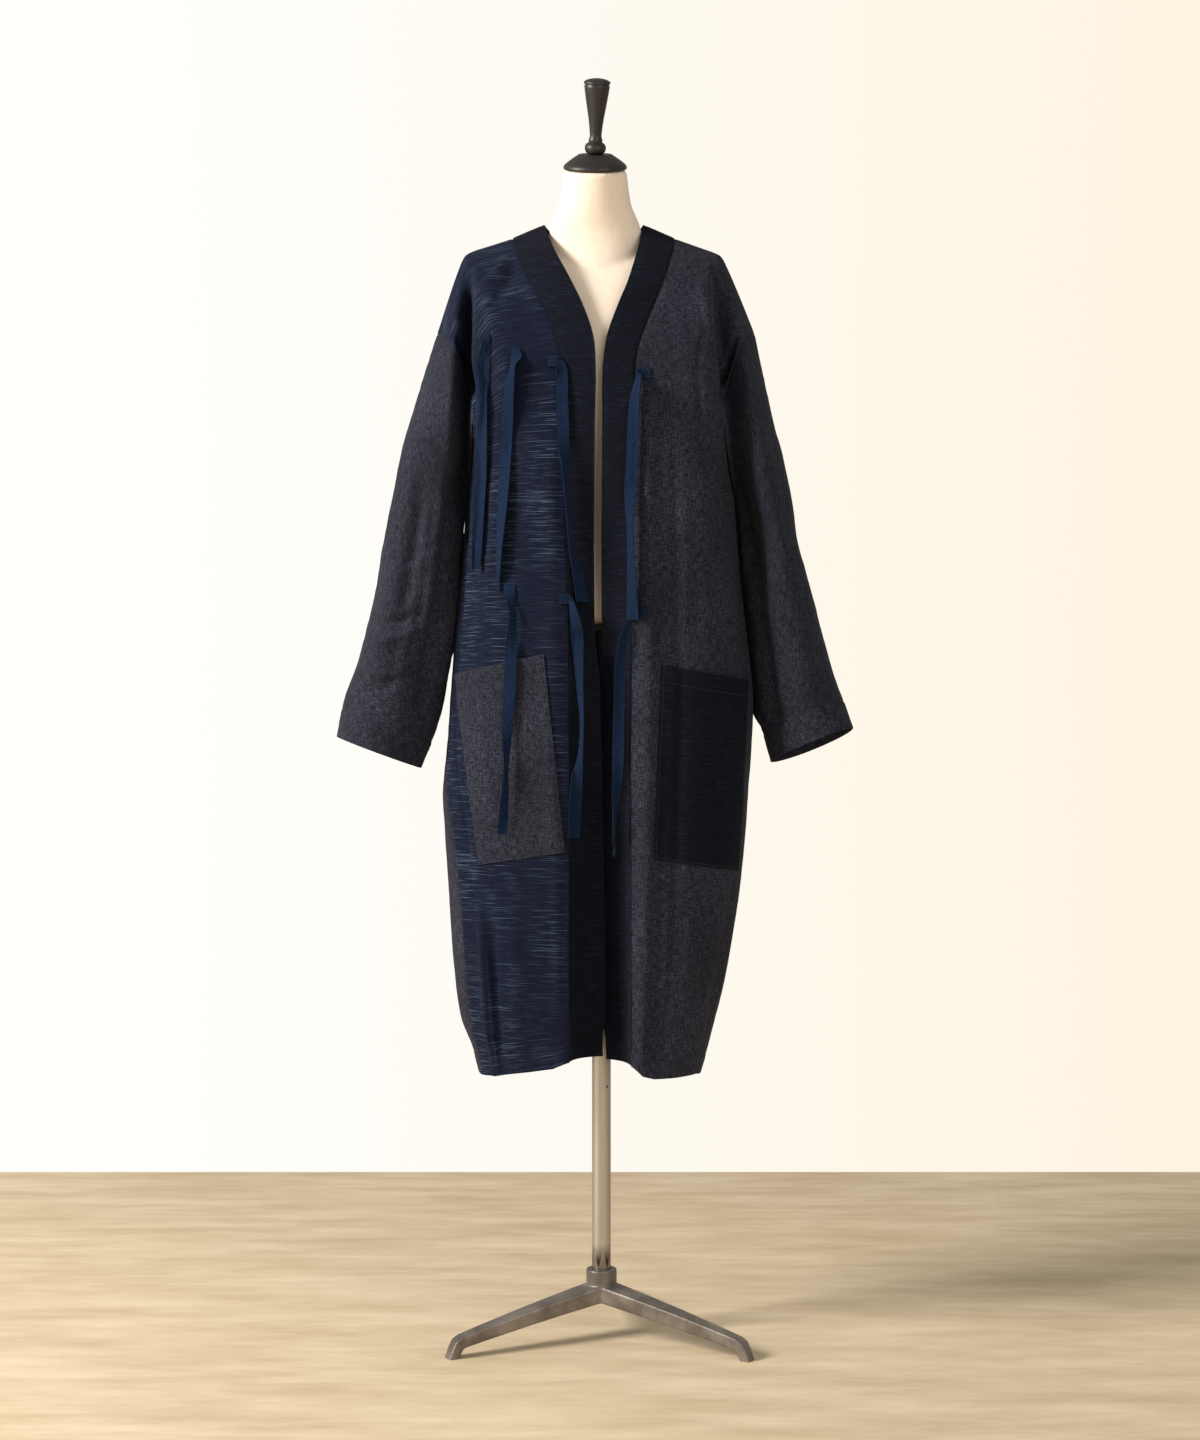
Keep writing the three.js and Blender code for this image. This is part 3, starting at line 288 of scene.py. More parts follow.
brushed_steel, tree, shader = finish("brushed steel", Metallic=1.0, Roughness=0.34)
where = node(tree, "TexCoord").outputs["Object"]
scratches = noise(tree, stretched(tree, where, 900.0, 900.0, 4.0), 1.0, 3.0)
steel = blend_colour(tree, scratches, srgb(176, 170, 165), srgb(212, 208, 204))
to_axis = (*(-(ORIGIN + at_pole)[:2] / 1000), 0.0)
middle = node(tree, "Mapping", {"Vector": where, "Location": to_axis}).outputs[0]
axes = node(tree, "SeparateXYZ", {0: middle}).outputs
burnt = ramp(tree, axes[2], TINT_TOP, TINT_BOTTOM)
azimuth = math(tree, "ADD", math(tree, "ARCTAN2", axes[1], axes[0]), LICK_START)
zigzag = math(tree, "PINGPONG", azimuth, LICK_TURN)
lick = math(tree, "ADD", math(tree, "MULTIPLY", zigzag, LICK_RISE / LICK_TURN), LICK_FOOT)
beside = math(tree, "ABSOLUTE", math(tree, "SUBTRACT", axes[2], lick))
bare = ramp(tree, beside, 0.0, LICK_WIDE, 0.6, 0.0)
below = ramp(tree, math(tree, "SUBTRACT", lick, axes[2]), 0.0, 0.001, 0.0, 0.4)
tint = math(tree, "MULTIPLY", burnt, math(tree, "SUBTRACT", 1.0, math(tree, "MAXIMUM", bare, below)))
steel = blend_colour(tree, tint, steel, srgb(66, 54, 46))
away = node(tree, "VectorMath", {0: middle, 1: HOLE}, operation="DISTANCE").outputs["Value"]
hole = ramp(tree, away, HOLE_RIM, HOLE_RADIUS)
feed(tree, shader, {
    "Base Color": blend_colour(tree, hole, steel, srgb(30, 26, 24)),
    "Roughness": ramp(tree, scratches, 0.0, 1.0, 0.26, 0.42),
})
paint(pole, brushed_steel)


# ---- pole socket ----
# A cast flange with a collar, screwed under the torso to take the top of the pole.

socket = bpy.data.objects["pole_socket"]
socket.data.materials.clear()
socket.data.materials.append(cast_metal)


# ---- torso and neck ----
# The limbless dress form: a light body with a narrow shoulder ridge and a neck that leans forward,
# covered tightly with plain off-white linen.

FORM_X = -6.5
# Torso rings: height, half width, depth in front and behind.
TORSO = np.array([
    [966, 146, 84, 82], [978, 155, 90, 87], [1040, 140, 90, 86], [1110, 116, 86, 82], [1200, 124, 97, 88],
    [1290, 140, 104, 92], [1345, 148, 96, 92], [1400, 152, 78, 86], [1440, 152, 50, 64], [1462, 150, 29, 42],
    [1474, 144, 16, 26], [1481, 132, 8, 14], [1486.4, 118, 4, 8], [1489, 102, 1.5, 3],
])
# Neck rings: height, half width, depth in front and behind, place forward, tangent of the lean.
NECK = np.array([
    [1420, 56, 56, 62, 0, 0], [1470, 67, 42, 54, 0, 0], [1495, 64.2, 41, 48, -2, 0.05],
    [1512, 59, 41, 45, -7, 0.151], [1534, 49, 42, 43, -14, 0.266], [1578, 42, 42, 42, -29.5, 0.364],
])


def curve(table, column, at):
    """Cubic through a table's rows by their first column; a row's slope is that of its neighbours."""
    by, value = table[:, 0], table[:, column]
    rows = np.arange(len(by))
    before, after = np.maximum(rows - 1, 0), np.minimum(rows + 1, len(by) - 1)
    slope = (value[after] - value[before]) / (by[after] - by[before])
    i = np.clip(np.searchsorted(by, at) - 1, 0, len(by) - 2)
    span = by[i + 1] - by[i]
    return hermite(value[i], slope[i] * span, value[i + 1], slope[i + 1] * span, (at - by[i]) / span)


def hermite(a, slope_a, b, slope_b, t):
    """Cubic from a to b with the given slopes at its ends."""
    t2, t3 = t * t, t * t * t
    start = a * (2 * t3 - 3 * t2 + 1) + slope_a * (t3 - 2 * t2 + t)
    return start + b * (3 * t2 - 2 * t3) + slope_b * (t3 - t2)


def form_rings(table, heights, sides=120):
    """Ellipses whose front and back depths differ, each moved in y and leaning as its row says."""
    turn = 2 * pi * np.arange(sides) / sides
    half, front, back, *more = (curve(table, k, heights)[:, None] for k in range(1, table.shape[1]))
    place, lean = more or (0 * half, 0 * half)
    y = np.sin(turn) * np.where(np.sin(turn) < 0, front, back)
    return np.stack([FORM_X + half * np.cos(turn), place + y, heights[:, None] + y * lean], -1)


form = [
    loft(form_rings(table, np.linspace(*table[[0, -1], 0], count))) for table, count in ((TORSO, 120), (NECK, 60))
]
torso = new_piece("linen_torso", *join_shells(form))
one_skin(torso, voxel=3.6, rounds=6)
torso.data.set_sharp_from_angle(angle=SKIN_SHARP)
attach(torso, "root")
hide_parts("form_torso")


def group(name, inputs, outputs):
    """A node group with named sockets; gives the group, its input node and its output node."""
    tree = bpy.data.node_groups.new(name, "ShaderNodeTree")
    for socket, kind, value in inputs:
        made = tree.interface.new_socket(socket, in_out="INPUT", socket_type="NodeSocket" + kind)
        if value is not None:
            made.default_value = value
    for socket, kind in outputs:
        tree.interface.new_socket(socket, in_out="OUTPUT", socket_type="NodeSocket" + kind)
    return tree, tree.nodes.new("NodeGroupInput"), tree.nodes.new("NodeGroupOutput")


weave, into, out = group(
    "weave",
    [("Vector", "Vector", None), ("Threads", "Float", 900.0)],
    [("Height", "Float")],
)
axes = node(weave, "SeparateXYZ", {0: into.outputs["Vector"]}).outputs
crossing = [math(weave, "SINE", math(weave, "MULTIPLY", axis, into.outputs["Threads"])) for axis in axes]
over = math(weave, "MULTIPLY", crossing[0], crossing[1])
feed(weave, out, {"Height": math(weave, "ADD", over, crossing[2])})

linen, tree, shader = finish("form linen", Roughness=0.95, Sheen_Weight=0.1, Sheen_Roughness=0.6)
where = node(tree, "TexCoord").outputs["Object"]
threads = node(tree, "Group", {"Vector": where, "Threads": 5200.0}, node_tree=weave).outputs["Height"]
slubs = noise(tree, stretched(tree, where, 160.0, 160.0, 26.0), 1.0, 3.0)
grain = math(tree, "ADD", math(tree, "MULTIPLY", threads, 0.3), slubs)
feed(tree, shader, {
    "Base Color": blend_colour(tree, slubs, srgb(242, 221, 200), srgb(253, 239, 222)),
    "Normal": bump(tree, grain, 0.25, 0.0004),
})
paint(torso, linen)


# ---- neck cap and finial ----
# Two turned wooden pieces on the neck, painted satin black: a low domed cap, and a finial with a
# ball, a groove and a handle that widens to a flat knob.

NECK_TOP = np.array([FORM_X, NECK[-1, 4], NECK[-1, 0]])
NECK_LEAN = radians(20)
CLEAR = 0.35
CAP_PROFILE = np.array([
    [40.5, 0], [42, 0.6], [42.9, 2.2], [42.2, 5], [39.6, 7.8], [35.2, 11.2], [30.4, 14.6], [26.4, 17.2],
    [24.4, 18.3], [23.6, 19.2], [22.6, 19.7],
])
FINIAL_PROFILE = np.array([
    [8.5, 0], [11.6, 1.4], [13.4, 3.6], [14.3, 7.2], [14.2, 10], [12.8, 13], [9.8, 15.2], [9, 16], [9.3, 17],
    [9.2, 19.5], [8.3, 21.5], [7.8, 23.5], [8.3, 30], [9.3, 39], [10.6, 48], [12.2, 57], [13.9, 67], [15.5, 77],
    [16.8, 86], [17, 88.5], [16, 89.6], [16, 90.4], [17.6, 91.2], [17.9, 92.4], [17.2, 94], [13.5, 96.2],
    [8, 97.6], [1.5, 98.3],
])
FINIAL_TILT = 0.03


def on_neck(name, profile, foot, tilt, replaced):
    """A turned piece, tilted to +X, that starts at a distance up the neck's leaning axis."""
    x, y, z = np.moveaxis(turned_rings(profile, 72), -1, 0)
    x, z = x + z * tilt, z - x * tilt + foot
    c, s = np.cos(NECK_LEAN), np.sin(NECK_LEAN)
    piece = new_piece(name, *loft(np.stack([x, y * c - z * s, y * s + z * c], -1) + NECK_TOP), sharp=48)
    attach(piece, "root")
    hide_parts(replaced)
    return piece


cap = on_neck("neck_cap", CAP_PROFILE, CLEAR, 0, "form_cap")
finial = on_neck("turned_finial", FINIAL_PROFILE, CAP_PROFILE[-1, 1] + 2 * CLEAR, FINIAL_TILT, "form_finial")
black_wood, tree, shader = finish("black painted wood", Roughness=0.45, Coat_Weight=0.08, Coat_Roughness=0.3)
where = node(tree, "TexCoord").outputs["Object"]
rubbed = noise(tree, where, 60.0, 3.0)
feed(tree, shader, {
    "Base Color": blend_colour(tree, rubbed, srgb(24, 21, 20), srgb(44, 39, 36)),
    "Roughness": ramp(tree, rubbed, 0.0, 1.0, 0.38, 0.54),
})
paint(cap, black_wood)
paint(finial, black_wood)


# ---- back ----
# The widest piece, cut in one from charcoal denim of cotton and linen. It hangs from the shoulders
# in soft vertical folds, and wraps a little way forward round the wearer's right side.

HEM_Z, UNDERARM_Z, NECK_POINT_Z = 365.0, 1150.0, 1492.0
CLOTH, CLOTH_SHARP = 1.6, 60
# Body sections: height, left and right side, depth of the back, angle of the back's wrap forward.
BODY = np.array([
    [365, -164, 136, 92, 0.36], [397, -173, 146, 96, 0.4], [430, -187, 155, 99, 0.5], [465, -194.5, 163, 101, 0.54],
    [520, -200, 174.5, 104, 0.54], [600, -205, 188, 107, 0.52], [690, -211, 197.5, 110, 0.42],
    [745, -213.5, 201, 111, 0.31], [800, -207.5, 205.5, 111, 0.1], [860, -203.5, 208, 110, 0],
    [920, -199.5, 203, 108, 0], [980, -194, 196, 107, 0], [1050, -187.5, 189, 106, 0],
    [1100, -184, 185, 106, 0], [1150, -181, 182, 107, 0],
])
# Front edges: height, band seam at -X and +X and its y, then the band's free edge: height, x, x, y.
EDGES = np.array([
    [365, -40.5, 41, -106, 386, 3.5, 8.5, -60], [430, -40.5, 40, -109, 437, 2.5, 7.5, -64],
    [600, -40.5, 39.5, -113, 600, 0, 6, -75], [750, -40.5, 39.5, -116, 750, -2.5, 4.5, -85],
    [900, -41.5, 40.5, -119, 900, -6, 3, -98], [1050, -43.5, 43, -122, 1050, -7.8, 1.8, -114],
    [1150, -45, 44.5, -123, 1150, -7.3, 2.5, -119], [1225, -46.5, 46, -121, 1222, -6.8, 3, -120],
    [1309, -50, 47.5, -113, 1300, -6, 4, -117], [1346, -60, 56.5, -103, 1341, -9.2, 9.5, -110],
    [1380, -72, 70, -91, 1378, -20.5, 21.5, -100], [1423, -94, 86, -71, 1418, -38, 37, -85],
    [1462, -110, 97, -38, 1469, -62, 51, -48], [1492, -119, 102, 0, 1510, -76, 59, 0],
])
# Band round the back of the neck: place, seam x, y, z, then free edge x, y, z.
BACK_NECK = np.array([
    [0, -119, 0, 1492, -76, 0, 1510], [0.22, -101, 52, 1474, -63, 42, 1509], [0.5, -8, 96, 1475, -8, 73, 1514],
    [0.78, 85, 52, 1474, 47, 42, 1509], [1, 102, 0, 1492, 59, 0, 1510],
])
# Shoulder lines: place from the armhole to the neck point, right x and z, left x and z.
SHOULDERS = np.array([
    [0, -222, 1362, 211, 1362], [0.3, -206, 1412, 191, 1412], [0.48, -193.5, 1448, 176.5, 1446],
    [0.58, -185, 1467, 166.5, 1466], [0.65, -175, 1474, 158, 1472], [0.8, -151, 1482, 136, 1480],
    [1, -119, 1492, 102, 1492],
])
# Sleeve sections: number, overarm x and z, underarm x and z, half depth, place forward, rise of the
# front, pinch at the underarm, tuck towards the body.
SLEEVE_RIGHT = np.array([
    [0, -222, 1362, -181, 1150, 80, 0, 0, 1, 30], [1, -250, 1270, -187.5, 1110, 76, -2, 0, 0.4, 9],
    [2, -272, 1180, -191.5, 1050, 68, -5, 0, 0, 0], [3, -290, 1085, -196.5, 990, 61, -9, 1, 0, 0],
    [4, -308, 1000, -202.5, 930, 53, -13, 2, 0, 0], [5, -328, 920, -210, 870, 48, -18, 3, 0, 0],
    [6, -347, 866, -223, 822, 45, -22, 3, 0, 0], [7, -357, 814, -243, 772, 43, -26, 3, 0, 0],
])
SLEEVE_LEFT = np.array([
    [0, 211, 1362, 182, 1150, 80, 0, 0, 1, 30], [1, 230, 1270, 189, 1100, 76, -2, 0, 0.4, 9],
    [2, 250, 1175, 193.5, 1040, 68, -5, 0, 0, 0], [3, 272, 1065, 199.5, 980, 61, -9, 2, 0, 0],
    [4, 295, 980, 207, 910, 53, -13, 4, 0, 0], [5, 317, 900, 213.5, 850, 48, -18, 6, 0, 0],
    [6, 332, 858, 223.5, 812, 45, -22, 7, 0, 0], [7, 343.5, 825, 232.5, 781, 43, -26, 8, 0, 0],
])
FRONT_ROUND, BACK_ROUND = 2 / 2.4, 2 / 2.2
SHOULDER_SHARE = 0.3
SPINE_ARRIVES = np.array([0, -45, 300.0])


def curves(table, columns, at):
    """Several columns of a table at the same places, side by side."""
    return np.stack([curve(table, column, at) for column in columns], -1)


def smooth(t):
    """Eased step from 0 to 1."""
    k = np.clip(t, 0, 1)
    return k * k * (3 - 2 * k)


def body_point(turn, z):
    """Body section at a height: a rounded quarter from either band seam, and a rounded half behind."""
    turn, z = np.broadcast_arrays(turn, z)
    left, right = curve(BODY, 1, z), curve(BODY, 2, z)
    cosine = np.cos(turn)
    reach = np.sign(cosine) * np.abs(cosine) ** BACK_ROUND
    depth = curve(BODY, 3, z) * np.maximum(np.sin(turn), 0) ** BACK_ROUND
    behind = np.stack([(left + right) / 2 - (right - left) / 2 * reach, depth, z], -1)
    on_right = turn < 0
    quarter = np.clip(np.where(on_right, -turn, turn - pi), 0, pi / 2)
    seam = np.where(on_right, curve(EDGES, 1, z), curve(EDGES, 2, z))
    x = seam + (np.where(on_right, left, right) - seam) * np.maximum(np.cos(quarter), 0) ** FRONT_ROUND
    front = np.stack([x, curve(EDGES, 3, z) * np.sin(quarter) ** FRONT_ROUND, z], -1)
    return np.where(((turn >= 0) & (turn <= pi))[..., None], behind, front)


def sleeve_point(table, row, psi, face):
    """Sleeve section: overarm at psi 0, underarm at pi; its lower half may be pinched shut and tucked in."""
    row, psi = np.broadcast_arrays(row, psi)
    over_x, over_z, under_x, under_z, *rest = (curve(table, k, row) for k in range(1, 10))
    deep, place, rise, pinch, tuck = rest
    lower = psi > pi / 2
    shut = np.where(lower, 1 - 2 * psi / pi, np.cos(psi))
    reach = np.cos(psi) + (shut - np.cos(psi)) * pinch
    sine = np.maximum(np.sin(psi), 0)
    depth = np.where(lower, sine ** (1 + 0.5 * pinch), sine)
    x = (over_x + under_x) / 2 + (over_x - under_x) / 2 * reach + np.sign(under_x - over_x) * tuck * sine
    z = (over_z + under_z) / 2 + (over_z - under_z) / 2 * reach
    return np.stack([x, place * sine + face * deep * depth, z - face * rise * depth], -1)


def shoulder_point(side, at):
    """Point of a shoulder line, from the armhole (0) to the neck point (1)."""
    x, z = np.moveaxis(curves(SHOULDERS, (1, 2) if side < 0 else (3, 4), at), -1, 0)
    return np.stack([x, 0 * at, z], -1)


def patch(u, s, armhole, far, foot, top):
    """Panel above the underarm, between an armhole (u = 0) and a far line, over its foot and under its top.

    A chord from armhole to far line, plus the bulge of the foot, fading, and of the top edge, growing;
    the top edge's depth stays out until near the top, as cloth that rolls over a shoulder.
    """
    share = ((1 - u) ** 2 * (1 + u))[None, :, None]
    chord = lambda start, end: end * (1 - share) + start * share
    up, roll = smooth(s)[:, None, None], (1 - np.sqrt(1 - s * s))[:, None, None]
    foot_bulge = (foot - chord(foot[0], foot[-1])) * (1 - up)
    top_bulge = (top - chord(top[0], top[-1])) * np.concatenate([up, roll, up], -1)
    return chord(armhole[:, None], far[:, None]) + foot_bulge + top_bulge


def armhole_point(side, s, face):
    """Point of an armhole seam, from the underarm (0) to the shoulder (1)."""
    return sleeve_point(SLEEVE_RIGHT if side < 0 else SLEEVE_LEFT, 0, pi * (1 - s), face)


def back_top_point(w):
    """Top edge of the back: right shoulder, back neck seam, left shoulder."""
    neck = curves(BACK_NECK, (1, 2, 3), (w - SHOULDER_SHARE) / (1 - 2 * SHOULDER_SHARE))
    right = shoulder_point(-1, np.minimum(w / SHOULDER_SHARE, 1))
    left = shoulder_point(1, np.minimum((1 - w) / SHOULDER_SHARE, 1))
    beside = np.where((w < 0.5)[:, None], right, left)
    return np.where(((w > SHOULDER_SHARE) & (w < 1 - SHOULDER_SHARE))[:, None], neck, beside)


def back_half(side, u, levels):
    """Half of the back, from the side seam (u = 0) to the spine (u = 1), at the given levels."""
    place = u / 2 if side < 0 else 1 - u / 2
    below, s = levels[levels <= 1], levels[levels > 1] - 1
    z = (HEM_Z + (UNDERARM_Z - HEM_Z) * below)[:, None]
    turn_at = lambda height: -curve(BODY, 4, height) + (pi + curve(BODY, 4, height)) * place
    foot, top = body_point(turn_at(UNDERARM_Z), UNDERARM_Z), back_top_point(place)
    rise = foot[-1] - body_point(pi / 2, UNDERARM_Z - 1)
    spine = hermite(foot[-1], rise * (top[-1, 2] - foot[-1, 2]), top[-1], SPINE_ARRIVES, s[:, None])
    upper = patch(u, s, armhole_point(side, s, 1), spine, foot, top)
    return np.concatenate([body_point(turn_at(z), z), upper])


def edge_dense(count, lean=0.35):
    """Places from 0 to 1, closer together towards both ends, where seams and rolled edges need them."""
    t = np.linspace(0, 1, count)
    return t - lean * np.sin(2 * pi * t) / (2 * pi)


def panel_levels(below, above):
    """Levels of a panel: 0 at the hem, 1 at the underarm, 2 at the top edge."""
    return np.concatenate([np.linspace(0, 1, below), 1 + np.linspace(0, 1, above + 1)[1:]])


def level_height(levels):
    """Height along the band seam for each level."""
    top = UNDERARM_Z + (NECK_POINT_Z - UNDERARM_Z) * (levels - 1)
    return np.where(levels <= 1, HEM_Z + (UNDERARM_Z - HEM_Z) * levels, top)


def grid_normals(grid, outward):
    """Unit normals of a grid from its differences, turned by the sign outward."""
    return unit(np.cross(np.gradient(grid, axis=1), np.gradient(grid, axis=0))) * outward


def raise_grid(flat, relief, outward):
    """A grid moved out along its normals by its relief."""
    return flat + relief[..., None] * grid_normals(flat, outward)


def arc_lengths(grid, axis):
    """Length run along an axis of the grid up to each point."""
    steps = np.linalg.norm(np.diff(grid, axis=axis), axis=-1)
    start = [(0, 0), (0, 0)]
    start[axis] = (1, 0)
    return np.pad(np.cumsum(steps, axis=axis), start)


def bell(distance, wide):
    """Bell curve of height 1."""
    return np.exp(-((distance / wide) ** 2))


def fold_height(folds, at, level, fade):
    """Sum of long folds: each a bell across the panel that fades in and out along it."""
    return sum(
        high * bell(at - place, wide) * smooth((level - start) / fade) * smooth((end - level) / fade)
        for place, wide, high, start, end in folds
    )


# How much steeper one side of a crease is than the other, and the share of its length either end takes.
CREASE_STEEP, CREASE_END = 0.35, 0.3


def crease_height(creases, x, z):
    """Sum of short creases, each a bell with one steep side along a bowed line from one point to another.

    A crease is x and z of both ends, half width, height, and how far its middle bows aside.
    """
    total = np.zeros(np.broadcast(x, z).shape)
    for x0, z0, x1, z1, wide, high, bow in creases:
        length = np.hypot(x1 - x0, z1 - z0)
        along = ((x - x0) * (x1 - x0) + (z - z0) * (z1 - z0)) / length ** 2
        aside = ((x - x0) * (z0 - z1) + (z - z0) * (x1 - x0)) / length
        aside = aside - bow * np.sin(pi * np.clip(along, 0, 1))
        steep = wide * (1 + CREASE_STEEP * np.tanh(aside / wide))
        ends = smooth(along / CREASE_END) * smooth((1 - along) / CREASE_END)
        total += high * bell(aside, steep) * ends
    return total


LATTICE = 64


def value_noise(x, y, seed):
    """Smooth noise from -1 to 1: random values at whole numbers, eased between."""
    lattice = np.random.default_rng(seed).uniform(-1, 1, (LATTICE, LATTICE))
    i, j = np.floor(x).astype(int), np.floor(y).astype(int)
    a, b = smooth(x - i), smooth(y - j)
    value = lambda di, dj: lattice[(i + di) % LATTICE, (j + dj) % LATTICE]
    low = value(0, 0) * (1 - a) + value(1, 0) * a
    high = value(0, 1) * (1 - a) + value(1, 1) * a
    return low * (1 - b) + high * b


# Rumples from the longest to the finest: height, length across, slant, and length along.
RUMPLES = [(1.1, 48, 700, 170), (0.55, 21, -240, 62), (0.28, 12, 31, 19), (0.1, 5, np.inf, 7)]


def crumple(across, along, seed, depth):
    """Uneven rumples of hung cloth: long soft waves, shorter ones across them, and a fine crumple."""
    return depth * sum(
        high * value_noise(across / wide + along / slant, along / long, seed + number)
        for number, (high, wide, slant, long) in enumerate(RUMPLES)
    )


# Gathers beside a seam: height, length along it, how slowly they change outwards and where they fade;
# then the depth and the half width of the seam's groove.
GATHER, GATHER_LONG, GATHER_DEEP, GATHER_FADE = 0.5, 8, 30, 9
SEAM_SUNK, SEAM_WIDE = 0.8, 2.2
# A hem's line: length of the step, depth and half width of the groove.
HEM_STEP, HEM_SUNK, HEM_WIDE = 1.6, 0.5, 2


def pucker(distance, along, seed):
    """A seam's groove, and the small gathers that run out from its stitches."""
    gathers = value_noise(along / GATHER_LONG, distance / GATHER_DEEP, seed) * np.exp(-distance / GATHER_FADE)
    return GATHER * gathers * smooth(distance / 2) - SEAM_SUNK * bell(distance, SEAM_WIDE)


def hem_step(distance, wide, fold=0.7):
    """Cloth turned up and sewn: one more layer up to the hem's line, with a shallow groove along it."""
    return fold * smooth((wide - distance) / HEM_STEP) - HEM_SUNK * bell(distance - wide, HEM_WIDE)


def hung_relief(flat, folded, depth, seeds, grow, hem, sewn_first=False):
    """Relief of a hung panel: folds and crumple that grow from its seams, gathers along them, and a hem.

    Its sides are sewn, and so is its last row, or its first; the hem is at the other end. Seeds are
    those of the crumple and of the gathers at the sides and the sewn end; grow holds the distances
    from the sides and from the sewn end over which the folds grow.
    """
    run, along = arc_lengths(flat, 1), arc_lengths(flat, 0)
    from_side, left = np.minimum(run, run[:, -1:] - run), along[-1:] - along
    from_sewn, from_hem = (along, left) if sewn_first else (left, along)
    relief = folded + crumple(run, along, seeds[0], depth)
    relief = relief * smooth(from_side / grow[0]) * smooth(from_sewn / grow[1])
    relief = relief + pucker(from_side, along, seeds[1]) + pucker(from_sewn, run, seeds[2])
    return relief + hem_step(from_hem, hem)


def wall(outer, normals, thickness, outward):
    """Points and faces of a closed wall: a grid, the same grid set back by the thickness, and a rim."""
    rows, columns = outer.shape[:2]
    layer = rows * columns
    points = np.concatenate([outer.reshape(-1, 3), (outer - thickness * normals).reshape(-1, 3)])
    i, j = np.meshgrid(np.arange(rows - 1) * columns, np.arange(columns - 1), indexing="ij")
    a = (i + j).ravel()
    front = np.stack([a, a + 1, a + columns + 1, a + columns], -1)
    number = np.arange(layer).reshape(rows, columns)
    rim = np.concatenate([number[0, :-1], number[:-1, -1], number[-1, :0:-1], number[:0:-1, 0]])
    after = np.roll(rim, -1)
    edge = np.stack([after, rim, layer + rim, layer + after], -1)
    faces = np.concatenate([front, layer + front[:, ::-1], edge])
    return points, (faces if outward > 0 else faces[:, ::-1]).tolist()


def flat_places(grid, straight):
    """Place in metres on the flat cloth of each point of a wall's two layers.

    It runs across from a straight column, and up the grain as the middle column does.
    """
    across, along = arc_lengths(grid, 1), arc_lengths(grid, 0)
    across = across - across[:, [straight]]
    up = np.broadcast_to(along[:, [along.shape[1] // 2]], across.shape)
    return np.tile((np.stack([across, up], -1) / 1000).reshape(-1, 2), (2, 1))


def cloth_piece(name, grid, outward, straight, thickness=CLOTH):
    """A wall of cloth from its outer grid, whose straight column runs along the grain; and its normals."""
    normals = grid_normals(grid, outward)
    places = flat_places(grid, straight)
    piece = new_piece(name, *wall(grid, normals, thickness, outward), uv=places, sharp=CLOTH_SHARP)
    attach(piece, "root")
    return piece, normals


# Long folds of the back: place across, half width, height, and the heights between which it runs.
FOLDS_BACK = [
    (0.045, 0.02, -11, 1130, 1430), (0.955, 0.02, -11, 1130, 1430), (0.24, 0.04, 7, 350, 1000),
    (0.36, 0.035, -6, 350, 1120), (0.5, 0.04, 6, 350, 900), (0.63, 0.03, -6, 350, 1060), (0.77, 0.045, 7, 350, 940),
    (0.3, 0.014, 2.2, 420, 1010), (0.435, 0.016, -2.5, 380, 980), (0.56, 0.012, 2.4, 350, 840),
    (0.7, 0.015, -2.6, 500, 1090), (0.16, 0.02, -3, 420, 900), (0.87, 0.02, -3, 380, 930),
]
CREASES_BACK = [
    (-168, 1400, -120, 1300, 9, 2.6, 4), (-178, 1330, -140, 1190, 10, -2.6, -5), (150, 1405, 112, 1310, 9, 2.4, -4),
    (164, 1320, 126, 1180, 11, -2.8, 5), (-60, 1440, -30, 1330, 14, 1.6, 3), (48, 1430, 20, 1310, 12, 1.4, -4),
    (-150, 1080, -90, 960, 13, 2.2, 8), (120, 1050, 165, 930, 12, -2.2, -6), (-40, 900, 10, 800, 11, 1.6, 5),
]
BODY_HEM = 24.0
PANEL_FADE = 60.0
HEM_RISE_FADE = 110.0
# How far the back's hem drops at its right and left side seam, and the share of its width it takes.
DROP_RIGHT, DROP_LEFT, DROP_WIDE = -3, -6, 0.15

levels = panel_levels(128, 68)
half_columns = edge_dense(96, 0.2)
right_half, left_half = (back_half(side, half_columns, levels) for side in (-1, 1))
flat = np.concatenate([right_half, left_half[:, -2::-1]], axis=1)
across_back = np.concatenate([half_columns / 2, 1 - half_columns[-2::-1] / 2])
folded = fold_height(FOLDS_BACK, across_back[None], level_height(levels)[:, None], PANEL_FADE)
folded = folded + crease_height(CREASES_BACK, flat[..., 0], flat[..., 2])
relief = hung_relief(flat, folded, depth=1.0, seeds=(11, 15, 16), grow=(22, 20), hem=BODY_HEM)
back_grid = raise_grid(flat, relief, -1)
side_drop = DROP_RIGHT * (1 - smooth(across_back / DROP_WIDE))
side_drop = side_drop + DROP_LEFT * (1 - smooth((1 - across_back) / DROP_WIDE))
back_grid[..., 2] += side_drop[None] * (1 - smooth((flat[..., 2] - HEM_Z) / HEM_RISE_FADE))
back, back_normals = cloth_piece("back_cloth", back_grid, -1, len(half_columns) - 1)
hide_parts("back")

